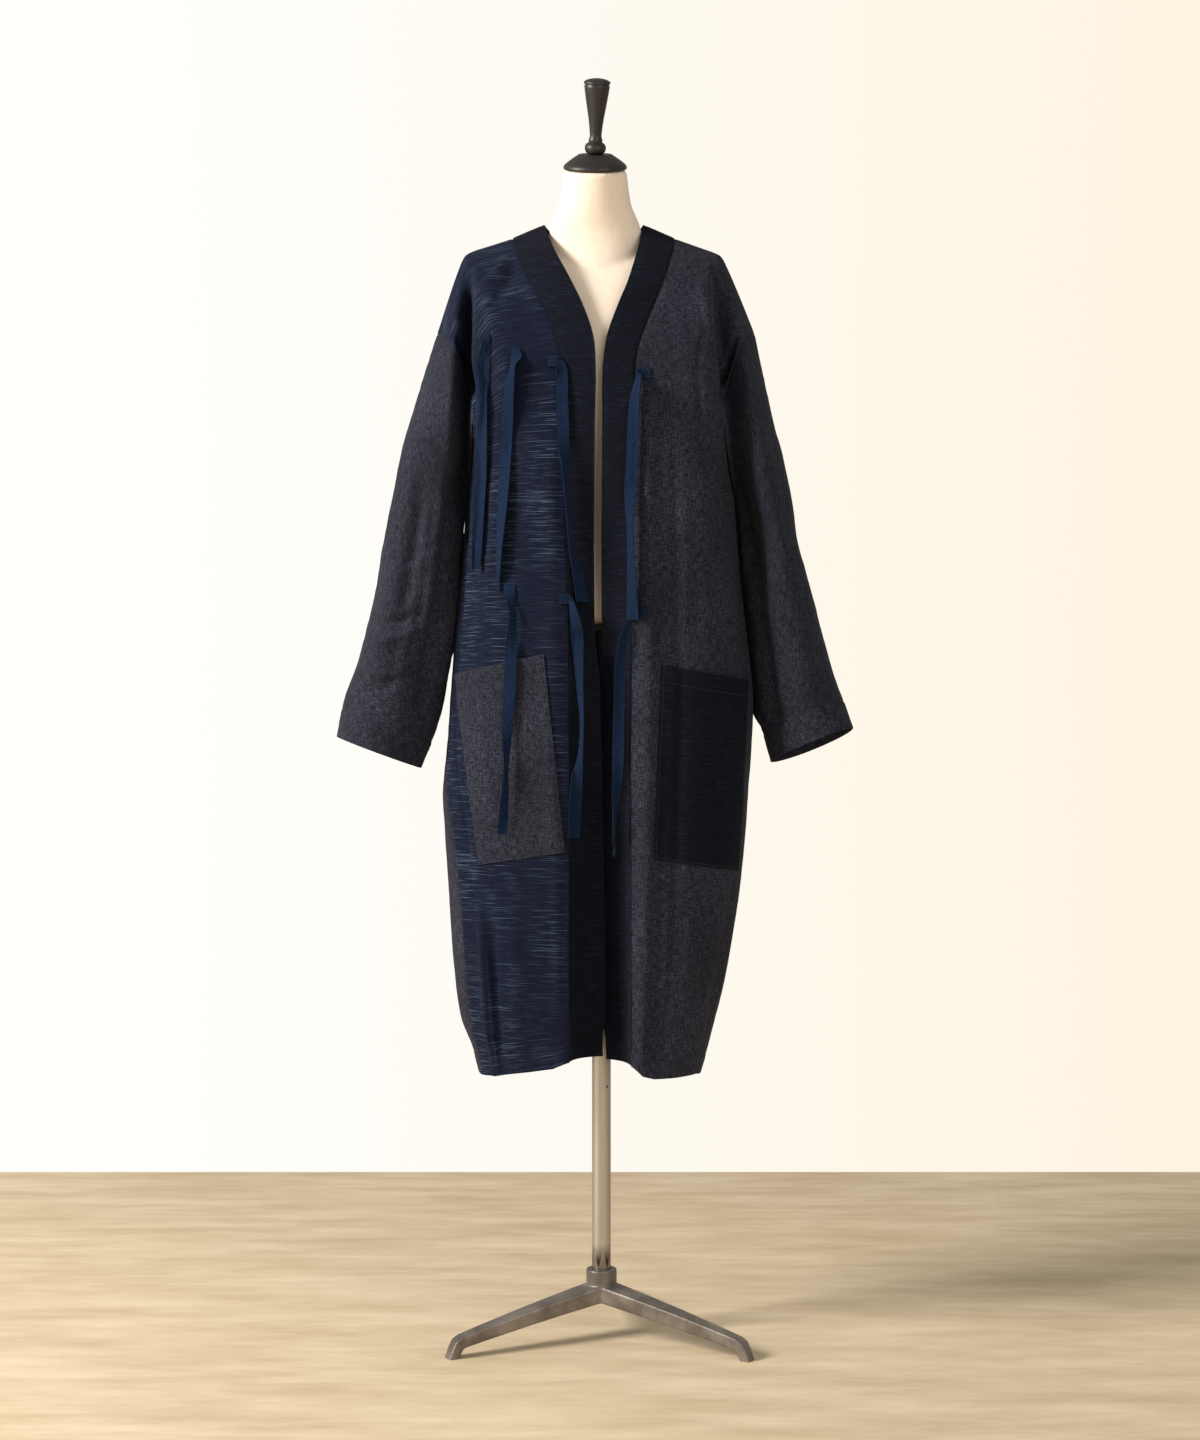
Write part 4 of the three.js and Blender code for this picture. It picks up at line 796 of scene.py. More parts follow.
slub, into, out = group(
    "slub yarns",
    [("Vector", "Vector", None), ("Length", "Float", 0.03), ("Width", "Float", 0.0014),
     ("Cover", "Float", 0.6), ("Soft", "Float", 0.1)],
    [("Mask", "Float")],
)
axes = node(slub, "SeparateXYZ", {0: into.outputs["Vector"]}).outputs
long, wide = (math(slub, "DIVIDE", axes[k], into.outputs[key]) for k, key in enumerate(("Length", "Width")))
flat_place = node(slub, "CombineXYZ", {0: long, 1: wide}).outputs[0]
yarn = node(slub, "TexNoise", {"Vector": flat_place, "Scale": 1.0, "Detail": 1.0}, noise_dimensions="2D")
upper = math(slub, "ADD", into.outputs["Cover"], into.outputs["Soft"])
feed(slub, out, {"Mask": ramp(slub, yarn.outputs[0], into.outputs["Cover"], upper)})


def cloth_finish(name, dark, light, weft, warp, flecks, cloud=(0.6, 1.15), sheen=0.03):
    """A woven cloth: a dark ground, paler weft and warp yarns, and short pale flecks.

    weft, warp and flecks are each a length and a width in metres, a cover, a softness and a share;
    cloud is the least and the most of them that shows.
    """
    material, tree, shader = finish(
        name, Roughness=0.95, Specular_IOR_Level=0.15, Sheen_Weight=sheen, Sheen_Roughness=0.4)
    place = node(tree, "UVMap", uv_map="cloth").outputs[0]
    turned = node(tree, "Mapping", {"Vector": place, "Rotation": (0, 0, pi / 2)}).outputs[0]

    def yarns(vector, length, wide, cover, soft, amount):
        """Share of the pale yarns that run along one way of the cloth."""
        values = {"Vector": vector, "Length": length, "Width": wide, "Cover": cover, "Soft": soft}
        return math(tree, "MULTIPLY", node(tree, "Group", values, node_tree=slub).outputs["Mask"], amount)

    woven = math(tree, "ADD", yarns(place, *weft), yarns(turned, *warp))
    share = math(tree, "ADD", woven, yarns(place, *flecks))
    share.node.use_clamp = True
    share = math(tree, "MULTIPLY", share, ramp(tree, noise(tree, place, 9.0, 2.0), 0.3, 0.7, *cloud))
    threads = node(tree, "Group", {"Vector": place, "Threads": 4200.0}, node_tree=weave).outputs["Height"]
    height = math(tree, "ADD", math(tree, "MULTIPLY", threads, 0.2), share)
    feed(tree, shader, {
        "Base Color": blend_colour(tree, share, dark, light),
        "Normal": bump(tree, height, 0.5, 0.0005),
    })
    return material


charcoal_denim = cloth_finish(
    "charcoal linen denim", srgb(18, 19, 28), srgb(74, 77, 94),
    weft=(0.01, 0.0011, 0.42, 0.26, 0.36), warp=(0.012, 0.0011, 0.42, 0.26, 0.38),
    flecks=(0.004, 0.0014, 0.64, 0.1, 0.3))
paint(back, charcoal_denim)

# A stitch: width, length, distance to the next, and how far it goes into the cloth and stands out of it.
THREAD, STITCH, PITCH = 0.55, 2.3, 3.3
THREAD_SUNK, THREAD_PROUD = 0.2, 0.35
STITCH_FACES = np.array([[0, 1, 2, 3], [7, 6, 5, 4], [0, 4, 5, 1], [1, 5, 6, 2], [2, 6, 7, 3], [3, 7, 4, 0]])


def seam_line(grid, normals, distance, axis, from_end=False):
    """Points and normals of a grid along a line at a distance from its first or last row or column."""
    turned = [np.moveaxis(part, axis, 1)[:, ::-1 if from_end else 1] for part in (grid, normals)]
    run = arc_lengths(turned[0], 1)
    rows = np.arange(len(run))
    j = np.clip((run < distance).sum(1) - 1, 0, run.shape[1] - 2)
    t = ((distance - run[rows, j]) / (run[rows, j + 1] - run[rows, j]))[:, None]
    return [part[rows, j] * (1 - t) + part[rows, j + 1] * t for part in turned]


def stitch_boxes(path, away):
    """Corners of a row of stitches: a small flat box for each, partly sunk in the cloth."""
    run = np.append(0, np.cumsum(np.linalg.norm(np.diff(path, axis=0), axis=1)))
    middles = (np.arange(int(run[-1] / PITCH)) + 0.5) * PITCH
    at = lambda values, places: np.stack([np.interp(places, run, values[:, k]) for k in range(3)], -1)
    tail, tip = at(path, middles - STITCH / 2), at(path, middles + STITCH / 2)
    up = unit(at(away, middles))
    side = unit(np.cross(tip - tail, up)) * THREAD / 2
    ring = np.stack([tail - side, tip - side, tip + side, tail + side], 1)
    return np.concatenate([ring - THREAD_SUNK * up[:, None], ring + THREAD_PROUD * up[:, None]], 1)


def sew(name, lines):
    """Rows of stitches in one piece, in dark thread."""
    corners = np.concatenate([stitch_boxes(path, away) for path, away in lines])
    faces = (STITCH_FACES + 8 * np.arange(len(corners))[:, None, None]).reshape(-1, 4)
    piece = new_piece(name, corners.reshape(-1, 3), faces.tolist())
    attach(piece, "root")
    paint(piece, sewing_thread)
    return piece


sewing_thread, tree, shader = finish("sewing thread", Roughness=0.7, Specular_IOR_Level=0.3)
where = node(tree, "TexCoord").outputs["Object"]
twist = noise(tree, where, 700.0, 1.0)
feed(tree, shader, {"Base Color": blend_colour(tree, twist, srgb(16, 18, 30), srgb(58, 62, 82))})
back_stitches = sew("back_stitches", [seam_line(back_grid, back_normals, BODY_HEM, 0)])


# ---- fronts ----
# Two long panels, sewn to the back at the sides and shoulders: the right one of indigo cotton with
# pale slub yarns in its weft, the left one of the charcoal denim.

# Long folds of each front: place across, half width, height, and the heights between which it runs.
FOLDS_FRONT = {
    -1: [
        (0.12, 0.055, -13, 1130, 1440), (0.36, 0.05, -5, 1180, 1380), (0.3, 0.05, 5, 350, 620),
        (0.42, 0.05, -4, 350, 600), (0.94, 0.04, 2.5, 420, 1200), (0.36, 0.016, 2.4, 350, 560),
        (0.55, 0.03, 1.8, 700, 1180), (0.24, 0.025, -2.4, 640, 1120), (0.66, 0.04, -1.6, 1150, 1350),
    ],
    1: [
        (0.12, 0.055, -13, 1130, 1440), (0.94, 0.045, 8, 350, 1290), (0.6, 0.06, 3, 900, 1200),
        (0.66, 0.06, 4, 350, 620), (0.3, 0.07, -4, 400, 640), (0.79, 0.03, -2.6, 360, 1230),
        (0.5, 0.02, 1.6, 560, 900), (0.24, 0.03, -2, 880, 1130), (0.55, 0.04, -1.5, 1180, 1400),
    ],
}
# Short creases: x and z of both ends, half width, height, and the bow of the middle.
CREASES_FRONT = {
    -1: [
        (-122, 1462, -164, 1404, 7, 5, 4), (-112, 1446, -156, 1372, 7, -4, 5), (-150, 1340, -136, 1215, 8, -3.4, -3),
        (-126, 1330, -118, 1225, 8, 2.2, 3), (-202, 752, -178, 604, 8, 3.4, -6), (-188, 700, -160, 560, 9, -2.6, 5),
        (-160, 570, -154, 368, 8, 2, 3), (-140, 540, -132, 368, 8, -1.6, -3), (-120, 600, -112, 400, 9, 1.8, 4),
        (-172, 1120, -120, 1040, 9, -2, 5), (-160, 1060, -104, 1000, 8, 1.8, -4), (-90, 1180, -60, 1080, 9, 1.4, 3),
    ],
    1: [
        (130, 1440, 158, 1330, 8, 2.6, -4), (150, 1400, 166, 1240, 7, -3, 3), (96, 1400, 110, 1300, 9, 1.6, 3),
        (112, 1165, 108, 915, 8, 2.4, 3), (92, 630, 88, 368, 9, 3, -3), (120, 620, 128, 420, 10, -2.2, 4),
        (172, 640, 150, 420, 10, 2.4, 5), (66, 1260, 74, 1100, 8, -1.8, -2), (160, 1120, 130, 1010, 10, -1.8, 5),
    ],
}


def front_points(side, u, levels):
    """Front panel, from the side seam or armhole (u = 0) to the band seam (u = 1)."""
    below, s = levels[levels <= 1], levels[levels > 1] - 1
    z = (HEM_Z + (UNDERARM_Z - HEM_Z) * below)[:, None]

    def turn_at(height):
        """Angle round the body of each column, past the back's wrap."""
        wrap = curve(BODY, 4, height) if side < 0 else 0.0
        quarter = wrap + (pi / 2 - wrap) * u
        return -quarter if side < 0 else pi + quarter

    seam_z = UNDERARM_Z + (NECK_POINT_Z - UNDERARM_Z) * s
    foot, top = body_point(turn_at(UNDERARM_Z), UNDERARM_Z), shoulder_point(side, u)
    upper = patch(u, s, armhole_point(side, s, -1), band_seam(side, seam_z), foot, top)
    return np.concatenate([body_point(turn_at(z), z), upper])


def band_seam(side, z):
    """Seam between a front and the band, at a height."""
    return np.stack([curve(EDGES, 1 if side < 0 else 2, z), curve(EDGES, 3, z), z], -1)


# Rise of each front's hem above the level hem: place across and rise. It dies out above the hem.
HEM_RISE = {
    -1: np.array([[0, -3], [0.3, 0], [0.5, 5], [0.7, 9], [0.9, 14], [1, 22]]),
    1: np.array([[0, -6], [0.3, 0], [0.84, 0], [0.93, 4], [1, 17]]),
}
# Valley between each front and its sleeve: height, and distance out of the front's crisp edge.
VALLEY_EDGE = {
    -1: np.array([[1145, 172], [1348, 166], [1437, 165]]),
    1: np.array([[1074, 181], [1153, 174], [1271, 160], [1387, 147], [1440, 144]]),
}
# How deep the valley is as a share of the coat's depth, its steep and its soft width, and its low end.
VALLEY = {-1: (0.66, 7.0, 24.0, 1060.0), 1: (0.6, 8.0, 36.0, 960.0)}
VALLEY_TOP, VALLEY_FADE_LOW, VALLEY_FADE_TOP = 1462.0, 90.0, 70.0


def sink_valley(side, grid):
    """Draws a grid's front back towards y = 0 in the valley, steeply beside the body, softly beyond."""
    share, steep, soft, low = VALLEY[side]
    edge, x, z = VALLEY_EDGE[side], grid[..., 0], grid[..., 2]
    outside = np.abs(x) - np.interp(z, edge[:, 0], edge[:, 1])
    sunk = smooth(outside / steep) * (1 - smooth((outside - steep) / soft))
    sunk = sunk * smooth((z - low) / VALLEY_FADE_LOW) * smooth((VALLEY_TOP - z) / VALLEY_FADE_TOP)
    grid[..., 1] *= 1 - share * sunk
    return grid


def hem_rise(side, u, z):
    """How far a front's hem line lies above the level hem, fading out upwards."""
    table = HEM_RISE[side]
    return np.interp(u, table[:, 0], table[:, 1]) * (1 - smooth((z - HEM_Z) / HEM_RISE_FADE))


FRONT_CRUMPLE = {-1: 0.9, 1: 0.75}
front_columns = edge_dense(112, 0.3)
front_grids, fronts = {}, {}
for side, name in ((-1, "front_right"), (1, "front_left")):
    flat = front_points(side, front_columns, levels)
    flat[..., 2] += hem_rise(side, front_columns[None], flat[..., 2])
    flat = sink_valley(side, flat)
    folded = fold_height(FOLDS_FRONT[side], front_columns[None], level_height(levels)[:, None], PANEL_FADE)
    folded = folded + crease_height(CREASES_FRONT[side], flat[..., 0], flat[..., 2])
    seeds = (21 + side, 31 + side, 41 + side)
    relief = hung_relief(flat, folded, FRONT_CRUMPLE[side], seeds, grow=(12, 16), hem=BODY_HEM)
    grid = raise_grid(flat, relief, -side)
    fronts[side], normals = cloth_piece(f"{name}_cloth", grid, -side, -1)
    front_grids[side] = (grid, normals)
    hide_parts(name)
    hem_line = seam_line(grid, normals, BODY_HEM, 0)
    sewn = sew(f"{name}_stitches", [hem_line])

indigo_slub = cloth_finish(
    "indigo slub cotton", srgb(13, 19, 39), srgb(100, 120, 148),
    weft=(0.06, 0.001, 0.66, 0.09, 0.55), warp=(0.02, 0.001, 0.5, 0.3, 0.03),
    flecks=(0.03, 0.0009, 0.63, 0.1, 0.22), cloud=(0.1, 1.3), sheen=0.02)
paint(fronts[-1], indigo_slub)
paint(fronts[1], charcoal_denim)


# ---- sleeves ----
# Wide, straight sleeves of the charcoal denim, each of a front and a back half that meet in an
# overarm and an underarm seam, set on the dropped armhole and hemmed at the cuff.

SLEEVE_HEM = 38.0
# A felled seam down the front of each sleeve: distance of its first row of stitches from the overarm
# seam, and first section; then how far it stands out, starts before that row and is wide, and the
# distance between its two rows.
FELLED, FELLED_FROM = 60.0, 2.3
FELL_OUT, FELL_BEFORE, FELL_WIDE, FELL_ROWS = 0.6, 3, 12, 6
# Long folds: place from the overarm to the underarm, half width, height, first and last section.
FOLDS_SLEEVE = {
    (-1, -1): [
        (0.36, 0.1, 7, 0.4, 5.8), (0.7, 0.055, -11, 0.2, 6.2), (0.87, 0.055, 8, -0.5, 5.2),
        (0.52, 0.035, 2.5, 1.4, 6),
    ],
    (1, -1): [(0.4, 0.12, 6, 0.6, 5.8), (0.76, 0.1, -11, 0.2, 6.2), (0.22, 0.05, 1.5, 1.4, 6)],
    (-1, 1): [(0.3, 0.08, 4, 0.8, 5.5), (0.62, 0.07, -5, 1, 6), (0.86, 0.08, 12, 0.95, 4.6)],
    (1, 1): [(0.3, 0.08, 4, 0.8, 5.5), (0.62, 0.07, -4, 1, 6), (0.86, 0.08, 13, -0.6, 5.9)],
}
CREASES_SLEEVE = {
    (-1, -1): [
        (-244, 1280, -300, 1010, 12, 3.4, 6), (-206, 1180, -238, 930, 10, 3, 5), (-232, 1190, -268, 960, 10, -3, 4),
        (-224, 990, -296, 962, 7, -2.6, 4), (-232, 958, -312, 926, 7, 2.6, -4), (-224, 918, -300, 880, 7, -2.6, 3),
        (-240, 886, -326, 902, 7, 2.2, -3), (-216, 1060, -276, 1030, 8, 1.8, 3), (-330, 856, -300, 806, 8, 1.8, 3),
    ],
    (-1, 1): [
        (-250, 1270, -304, 1040, 12, 3, -6), (-214, 1150, -244, 960, 11, -2.8, 5), (-230, 1000, -290, 950, 8, 2.4, 4),
        (-222, 930, -300, 900, 8, -2.4, -3), (-250, 880, -320, 850, 8, 2, 3), (-234, 1090, -276, 1080, 9, 1.6, 3),
    ],
    (1, -1): [
        (236, 1240, 262, 1080, 13, 1.8, 5), (206, 1140, 226, 980, 10, -2.2, -4), (224, 960, 280, 900, 9, 1.4, 4),
        (216, 1000, 262, 1000, 8, -1.3, 3), (240, 880, 300, 846, 9, 1.2, 3), (262, 1070, 290, 960, 11, 1.3, 3),
    ],
    (1, 1): [
        (240, 1250, 268, 1070, 12, 2.2, -5), (212, 1130, 232, 960, 11, -2.2, 4), (222, 990, 290, 940, 8, 1.8, 3),
        (226, 920, 300, 890, 9, -1.8, -4), (250, 870, 310, 850, 8, 1.4, 3),
    ],
}
# How strong the creases and the crumple of either sleeve are.
SLEEVE_CREASE, SLEEVE_CRUMPLE = {-1: 2.1, 1: 1.5}, {-1: 1.5, 1: 0.9}
SLEEVE_CLEAR = 2.5


def beside_body(side, grid):
    """Pushes a back half's points out of the body below the underarm, where it rests against the side."""
    y, z = grid[..., 1], grid[..., 2]
    low, high = curve(BODY, 1, z), curve(BODY, 2, z)
    sine = np.clip(y / curve(BODY, 3, z), 0, 1) ** (1 / BACK_ROUND)
    reach = np.sqrt(1 - sine ** 2) ** BACK_ROUND
    out = side * (low + high) / 2 + (high - low) / 2 * reach
    out = out + SLEEVE_CLEAR * smooth((UNDERARM_Z - z) / 30)
    pressed = np.where((z < UNDERARM_Z) & (y > 0), np.maximum(side * grid[..., 0], out), side * grid[..., 0])
    return np.stack([side * pressed, y, z], -1)


turns = pi * edge_dense(64, 0.3)
rows = np.linspace(0, 7, 150)
for side, word in ((-1, "right"), (1, "left")):
    table = SLEEVE_RIGHT if side < 0 else SLEEVE_LEFT
    for face, part in ((-1, "front"), (1, "back")):
        outward = -side * face
        flat = sleeve_point(table, rows[:, None], turns[None], face)
        if face < 0:
            flat = sink_valley(side, flat)
        folded = fold_height(FOLDS_SLEEVE[side, face], turns[None] / pi, rows[:, None], 1.0)
        creased = crease_height(CREASES_SLEEVE[side, face], flat[..., 0], flat[..., 2])
        folded = folded + SLEEVE_CREASE[side] * creased
        seeds = (51 + 4 * side + face, 61 + side, 71 + side)
        relief = hung_relief(flat, folded, SLEEVE_CRUMPLE[side], seeds, (14, 14), SLEEVE_HEM, sewn_first=True)
        if face < 0:
            into = arc_lengths(flat, 1) - FELLED + FELL_BEFORE
            felled = smooth(into / 2) - smooth((into - FELL_WIDE) / 2)
            relief = relief + FELL_OUT * felled * smooth((rows[:, None] - FELLED_FROM) / 0.2)
        grid = raise_grid(flat, relief, outward)
        if face > 0:
            grid = beside_body(side, grid)
        sleeve, normals = cloth_piece(f"sleeve_{word}_{part}_cloth", grid, outward, 0)
        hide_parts(f"sleeve_{word}_{part}")
        paint(sleeve, charcoal_denim)
        lines = [seam_line(grid, normals, SLEEVE_HEM, 0, True)]
        if face < 0:
            start = int(np.searchsorted(rows, FELLED_FROM)) + 3
            rails = [seam_line(grid, normals, FELLED + off, 1) for off in (0, FELL_ROWS)]
            lines += [(path[start:], away[start:]) for path, away in rails]
        sewn = sew(f"sleeve_{word}_{part}_stitches", lines)


# ---- neckband ----
# One long strip of dark navy cotton, doubled and pressed. It is sewn up the right front, round the
# back of the neck and down the left front, and below the chest its free edge turns inwards.

# The band's thickness, how far it stands out, and the depth of the pressed line along its free edge.
BAND_CLOTH, BAND_OUT, BAND_CREASE = 3.0, 0.3, 0.45


def band_points(seam, edge, w):
    """Band from its seam (w = 0) to its free edge (w = 1); it curls in where the edge lies behind."""
    turned = np.minimum(np.abs(edge[:, 1] - seam[:, 1]) / 45, 1)[:, None]
    across = w + (1 - np.cos(w * pi / 2) - w) * turned
    behind = w + (np.sin(w * pi / 2) - w) * turned
    step = edge - seam
    return seam[:, None] + np.stack([step[:, [0]] * across, step[:, [1]] * behind, step[:, [2]] * w], -1)


def band_edge(side, z):
    """Free edge of the band at a height of its seam."""
    return curves(EDGES, (5 if side < 0 else 6, 7, 4), z)


seam_z = level_height(panel_levels(150, 76))
neck_at = np.linspace(0, 1, 74)[1:-1]
neck_seam, neck_edge = (curves(BACK_NECK, columns, neck_at) for columns in ((1, 2, 3), (4, 5, 6)))
seam = np.concatenate([band_seam(-1, seam_z), neck_seam, band_seam(1, seam_z[::-1])])
edge = np.concatenate([band_edge(-1, seam_z), neck_edge, band_edge(1, seam_z[::-1])])
# Rise of either free edge at the hem; how far the edges lap sideways and in depth, and the heights
# where the lap starts and ends, each with the length it takes.
BAND_EDGE_RISE = {-1: 3.0, 1: -1.0}
BAND_LAP, BAND_LAP_DEPTH = 5.5, 8
LAP_LOW, LAP_HIGH = (395, 50), (880, 80)
for side, end in ((-1, slice(0, len(seam_z))), (1, slice(-len(seam_z), None))):
    fade = 1 - smooth((seam[end, 2] - HEM_Z) / HEM_RISE_FADE)
    edge[end, 2] += BAND_EDGE_RISE[side] * fade
    starts, ends = (smooth((seam[end, 2] - z) / fade_long) for z, fade_long in (LAP_LOW, LAP_HIGH))
    lapped = starts * (1 - ends)
    edge[end, 0] -= side * BAND_LAP * lapped
    edge[end, 1] += side * BAND_LAP_DEPTH * lapped
    seam[end, 2] += hem_rise(side, 1.0, seam[end, 2])
band_flat = band_points(seam, edge, edge_dense(18, 0.5)[None])
run, up = arc_lengths(band_flat, 1), arc_lengths(band_flat, 0)
relief = 0.5 * value_noise(up / 70, run / 40, 81) + 0.25 * value_noise(up / 24, run / 18, 82)
relief = relief * smooth(run / 8) + pucker(run, up, 83) + BAND_OUT
relief = relief - BAND_CREASE * bell(run[:, -1:] - run - 3, 1.6)
band_grid = raise_grid(band_flat, relief, 1)
neckband = cloth_piece("neckband_cloth", band_grid, 1, 0, BAND_CLOTH)[0]
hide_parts("neckband")
navy_slub = cloth_finish(
    "navy slub cotton", srgb(10, 12, 22), srgb(38, 48, 76),
    weft=(0.03, 0.0013, 0.58, 0.15, 0.35), warp=(0.02, 0.001, 0.5, 0.3, 0.08),
    flecks=(0.012, 0.0012, 0.64, 0.1, 0.25), cloud=(0.4, 1.2), sheen=0.01)
paint(neckband, navy_slub)


# ---- pockets ----
# Two patch pockets, hemmed at the top and topstitched round three sides: charcoal denim on the right
# front, dark navy cotton on the left.

# Room under a pocket, how far its mouth hangs open, and the rise of its turned edges.
POCKET_OUT, POCKET_SLACK, POCKET_FOLD = 0.5, 1.6, 0.5
POCKET_HEM, TOPSTITCH = 22.0, 3.0
# Corners as x and z: outer top, inner top, inner bottom, outer bottom.
POCKETS = {
    -1: ((-195, 898), (-73, 923), (-46.5, 664), (-160, 646)),
    1: ((198, 889), (80, 909), (69, 655), (184, 637)),
}


def panel_place(side, x, z):
    """Column and level of a front panel at a point seen from the front."""
    seam_x, side_x = (curve(table, 1 if side < 0 else 2, z) for table in (EDGES, BODY))
    quarter = np.arccos(np.clip((x - seam_x) / (side_x - seam_x), 0, 1) ** (1 / FRONT_ROUND))
    wrap = curve(BODY, 4, z) if side < 0 else 0.0
    return np.clip((quarter - wrap) / (pi / 2 - wrap), 0.02, 0.985), (z - HEM_Z) / (UNDERARM_Z - HEM_Z)


def front_at(side, u, level):
    """Points and normals of a front's grid between its columns and levels, in straight lines."""
    i = np.clip(np.searchsorted(levels, level) - 1, 0, len(levels) - 2)
    j = np.clip(np.searchsorted(front_columns, u) - 1, 0, len(front_columns) - 2)
    a = ((level - levels[i]) / (levels[i + 1] - levels[i]))[..., None]
    b = ((u - front_columns[j]) / (front_columns[j + 1] - front_columns[j]))[..., None]
    between = lambda part, row: part[row, j] * (1 - b) + part[row, j + 1] * b
    return (between(part, i) * (1 - a) + between(part, i + 1) * a for part in front_grids[side])


pocket_grids = []
for side, word in ((-1, "right"), (1, "left")):
    corners = np.array(POCKETS[side], float)
    down, along = edge_dense(100, 0.4)[:, None, None], edge_dense(56, 0.4)[None, :, None]
    top = corners[0] * (1 - along) + corners[1] * along
    bottom = corners[3] * (1 - along) + corners[2] * along
    u, level = panel_place(side, *np.moveaxis(top * (1 - down) + bottom * down, -1, 0))
    place, away = front_at(side, u, level)
    run, fall = arc_lengths(place, 1), arc_lengths(place, 0)
    from_side = np.minimum(run, run[:, -1:] - run)
    from_edge = np.minimum(from_side, fall[-1:] - fall)
    slack = smooth(from_side / 40) * np.exp(-fall / 60)
    relief = POCKET_OUT + CLOTH + POCKET_SLACK * slack + POCKET_FOLD * smooth(from_edge / 5)
    relief = relief + 0.35 * value_noise(run / 26, fall / 34, 91 + side) * smooth(from_edge / 12)
    relief = relief - 0.4 * bell(from_edge - TOPSTITCH, 1.4)
    relief = relief + hem_step(fall, POCKET_HEM, POCKET_FOLD) * smooth(from_side / 4)
    grid = place + relief[..., None] * unit(away)
    pocket, normals = cloth_piece(f"pocket_{word}_cloth", grid, side, 0)
    pocket_grids.append(grid)
    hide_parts(f"pocket_{word}")
    edges = [(TOPSTITCH, 1, False), (TOPSTITCH, 1, True), (TOPSTITCH, 0, True), (POCKET_HEM, 0, False)]
    sewn = sew(f"pocket_{word}_stitches", [seam_line(grid, normals, *edge) for edge in edges])
    paint(pocket, charcoal_denim if side < 0 else navy_slub)


# ---- ties ----
# Seven flat ties of blue cotton, folded and pressed, each sewn down at its head and hanging free.

TAPE, TAPE_WIDTH = 1.2, 15.5
HEAD_LIFT, FREE_FALL = 0.9, 0.03
# Shares of the tape's width: the least that shows, the most at a pointed end, and how deep a turn goes.
LEAST_SEEN, POINTED_END, TURN_DEPTH = 0.08, 0.3, 0.42
# Height of the tape's crumple, and the rows on either side over which its course is evened out.
TAPE_CRUMPLE, TAPE_EVENED = 0.5, 6
# Distance of the stitches from a head's edge, and the length in metres that is folded over there.
HEAD_STITCH, HEAD_FOLD = 2.2, 0.015
# Each tie's course from its head down: height, middle and seen width, which is less where it turns.
TIE_COURSES = [
    [[1347, -149, 5], [1337, -149.5, 9], [1300, -154.5, 13.7], [1257, -156, 15.4], [1170, -157, 15.4],
     [1116, -160, 15], [1065, -162, 13], [1036, -163.5, 10]],
    [[1325, -111, 9], [1313, -110, 15], [1300, -114, 7], [1278, -118, 12], [1235, -121, 15], [1181, -124, 15.4],
     [1126, -127.5, 13.5], [1061, -132, 7.6], [1007, -134, 2.5]],
    [[1311, -53, 6], [1296, -50, 14], [1257, -49.5, 15.4], [1203, -47.3, 15], [1159, -43.8, 10], [1116, -41, 6.4],
     [1061, -36.5, 6.4], [1032, -29, 13.6], [991, -22.7, 15.4]],
    [[1294, 51.5, 5], [1253, 44.7, 12.5], [1167, 41, 15], [1134, 38.8, 15], [1086, 38.7, 8.5], [1039, 40, 9.5],
     [967, 42.3, 15.4]],
    [[1014, -119, 15.4], [995, -117, 12], [976, -113.5, 9], [933, -115.8, 14], [876, -118, 15.4], [819, -121.4, 13],
     [777, -122, 6], [720, -125.4, 11], [688, -128, 13.4]],
    [[999, -39, 5], [953, -30, 15.4], [919, -28.4, 12.7], [876, -26.3, 8.5], [833, -24, 5], [791, -26, 6.5],
     [762, -30, 14.5], [682, -34.4, 15.4]],
    [[974, 44, 8], [960, 35, 8], [919, 27, 12.7], [862, 25, 14], [791, 23.5, 15], [748, 22.3, 12], [706, 19.6, 5],
     [658, 17.8, 1.5]],
]
# Heads that are sewn down beside the tie, by the tie's number: outer and inner edge, top and bottom.
TIE_HEADS = {
    3: (-69, -52, 1314, 1299), 4: (66, 50, 1298, 1284), 6: (-54, -38, 1002, 988), 7: (61, 43, 984, 969),
}
TIE_LIFT = [6, 3, 3, 8, 5, 4, 3]

# Map of the coat's foremost y over x and z: size of a cell, lowest corner, and number of cells.
DEPTH_CELL, DEPTH_LOW, DEPTH_SIZE = 2.0, np.array([-210.0, 620.0]), (160, 400)


def depth_map(grids):
    """Foremost y of some grids on a map of x and z cells, filled in between by straight lines."""
    depths = np.zeros(DEPTH_SIZE)
    for grid in grids:
        for a in np.linspace(0, 1, 5):
            for b in np.linspace(0, 1, 3):
                low = grid[:-1, :-1] * (1 - b) + grid[:-1, 1:] * b
                spot = low * (1 - a) + (grid[1:, :-1] * (1 - b) + grid[1:, 1:] * b) * a
                cell = np.floor((spot[..., [0, 2]] - DEPTH_LOW) / DEPTH_CELL).astype(int).reshape(-1, 2)
                inside = ((cell >= 0) & (cell < DEPTH_SIZE)).all(1)
                np.minimum.at(depths, tuple(cell[inside].T), spot[..., 1].ravel()[inside])
    return depths


coat_depth = depth_map([front_grids[-1][0], front_grids[1][0], band_grid, *pocket_grids])


def foremost(x, z):
    """Foremost y of the coat at places seen from the front."""
    i, j = (
        np.clip((at - DEPTH_LOW[k]) / DEPTH_CELL - 0.5, 0, DEPTH_SIZE[k] - 2) for k, at in enumerate((x, z))
    )
    a, b = i - np.floor(i), j - np.floor(j)
    i, j = np.floor(i).astype(int), np.floor(j).astype(int)
    low = coat_depth[i, j] * (1 - a) + coat_depth[i + 1, j] * a
    return low * (1 - b) + (coat_depth[i, j + 1] * (1 - a) + coat_depth[i + 1, j + 1] * a) * b


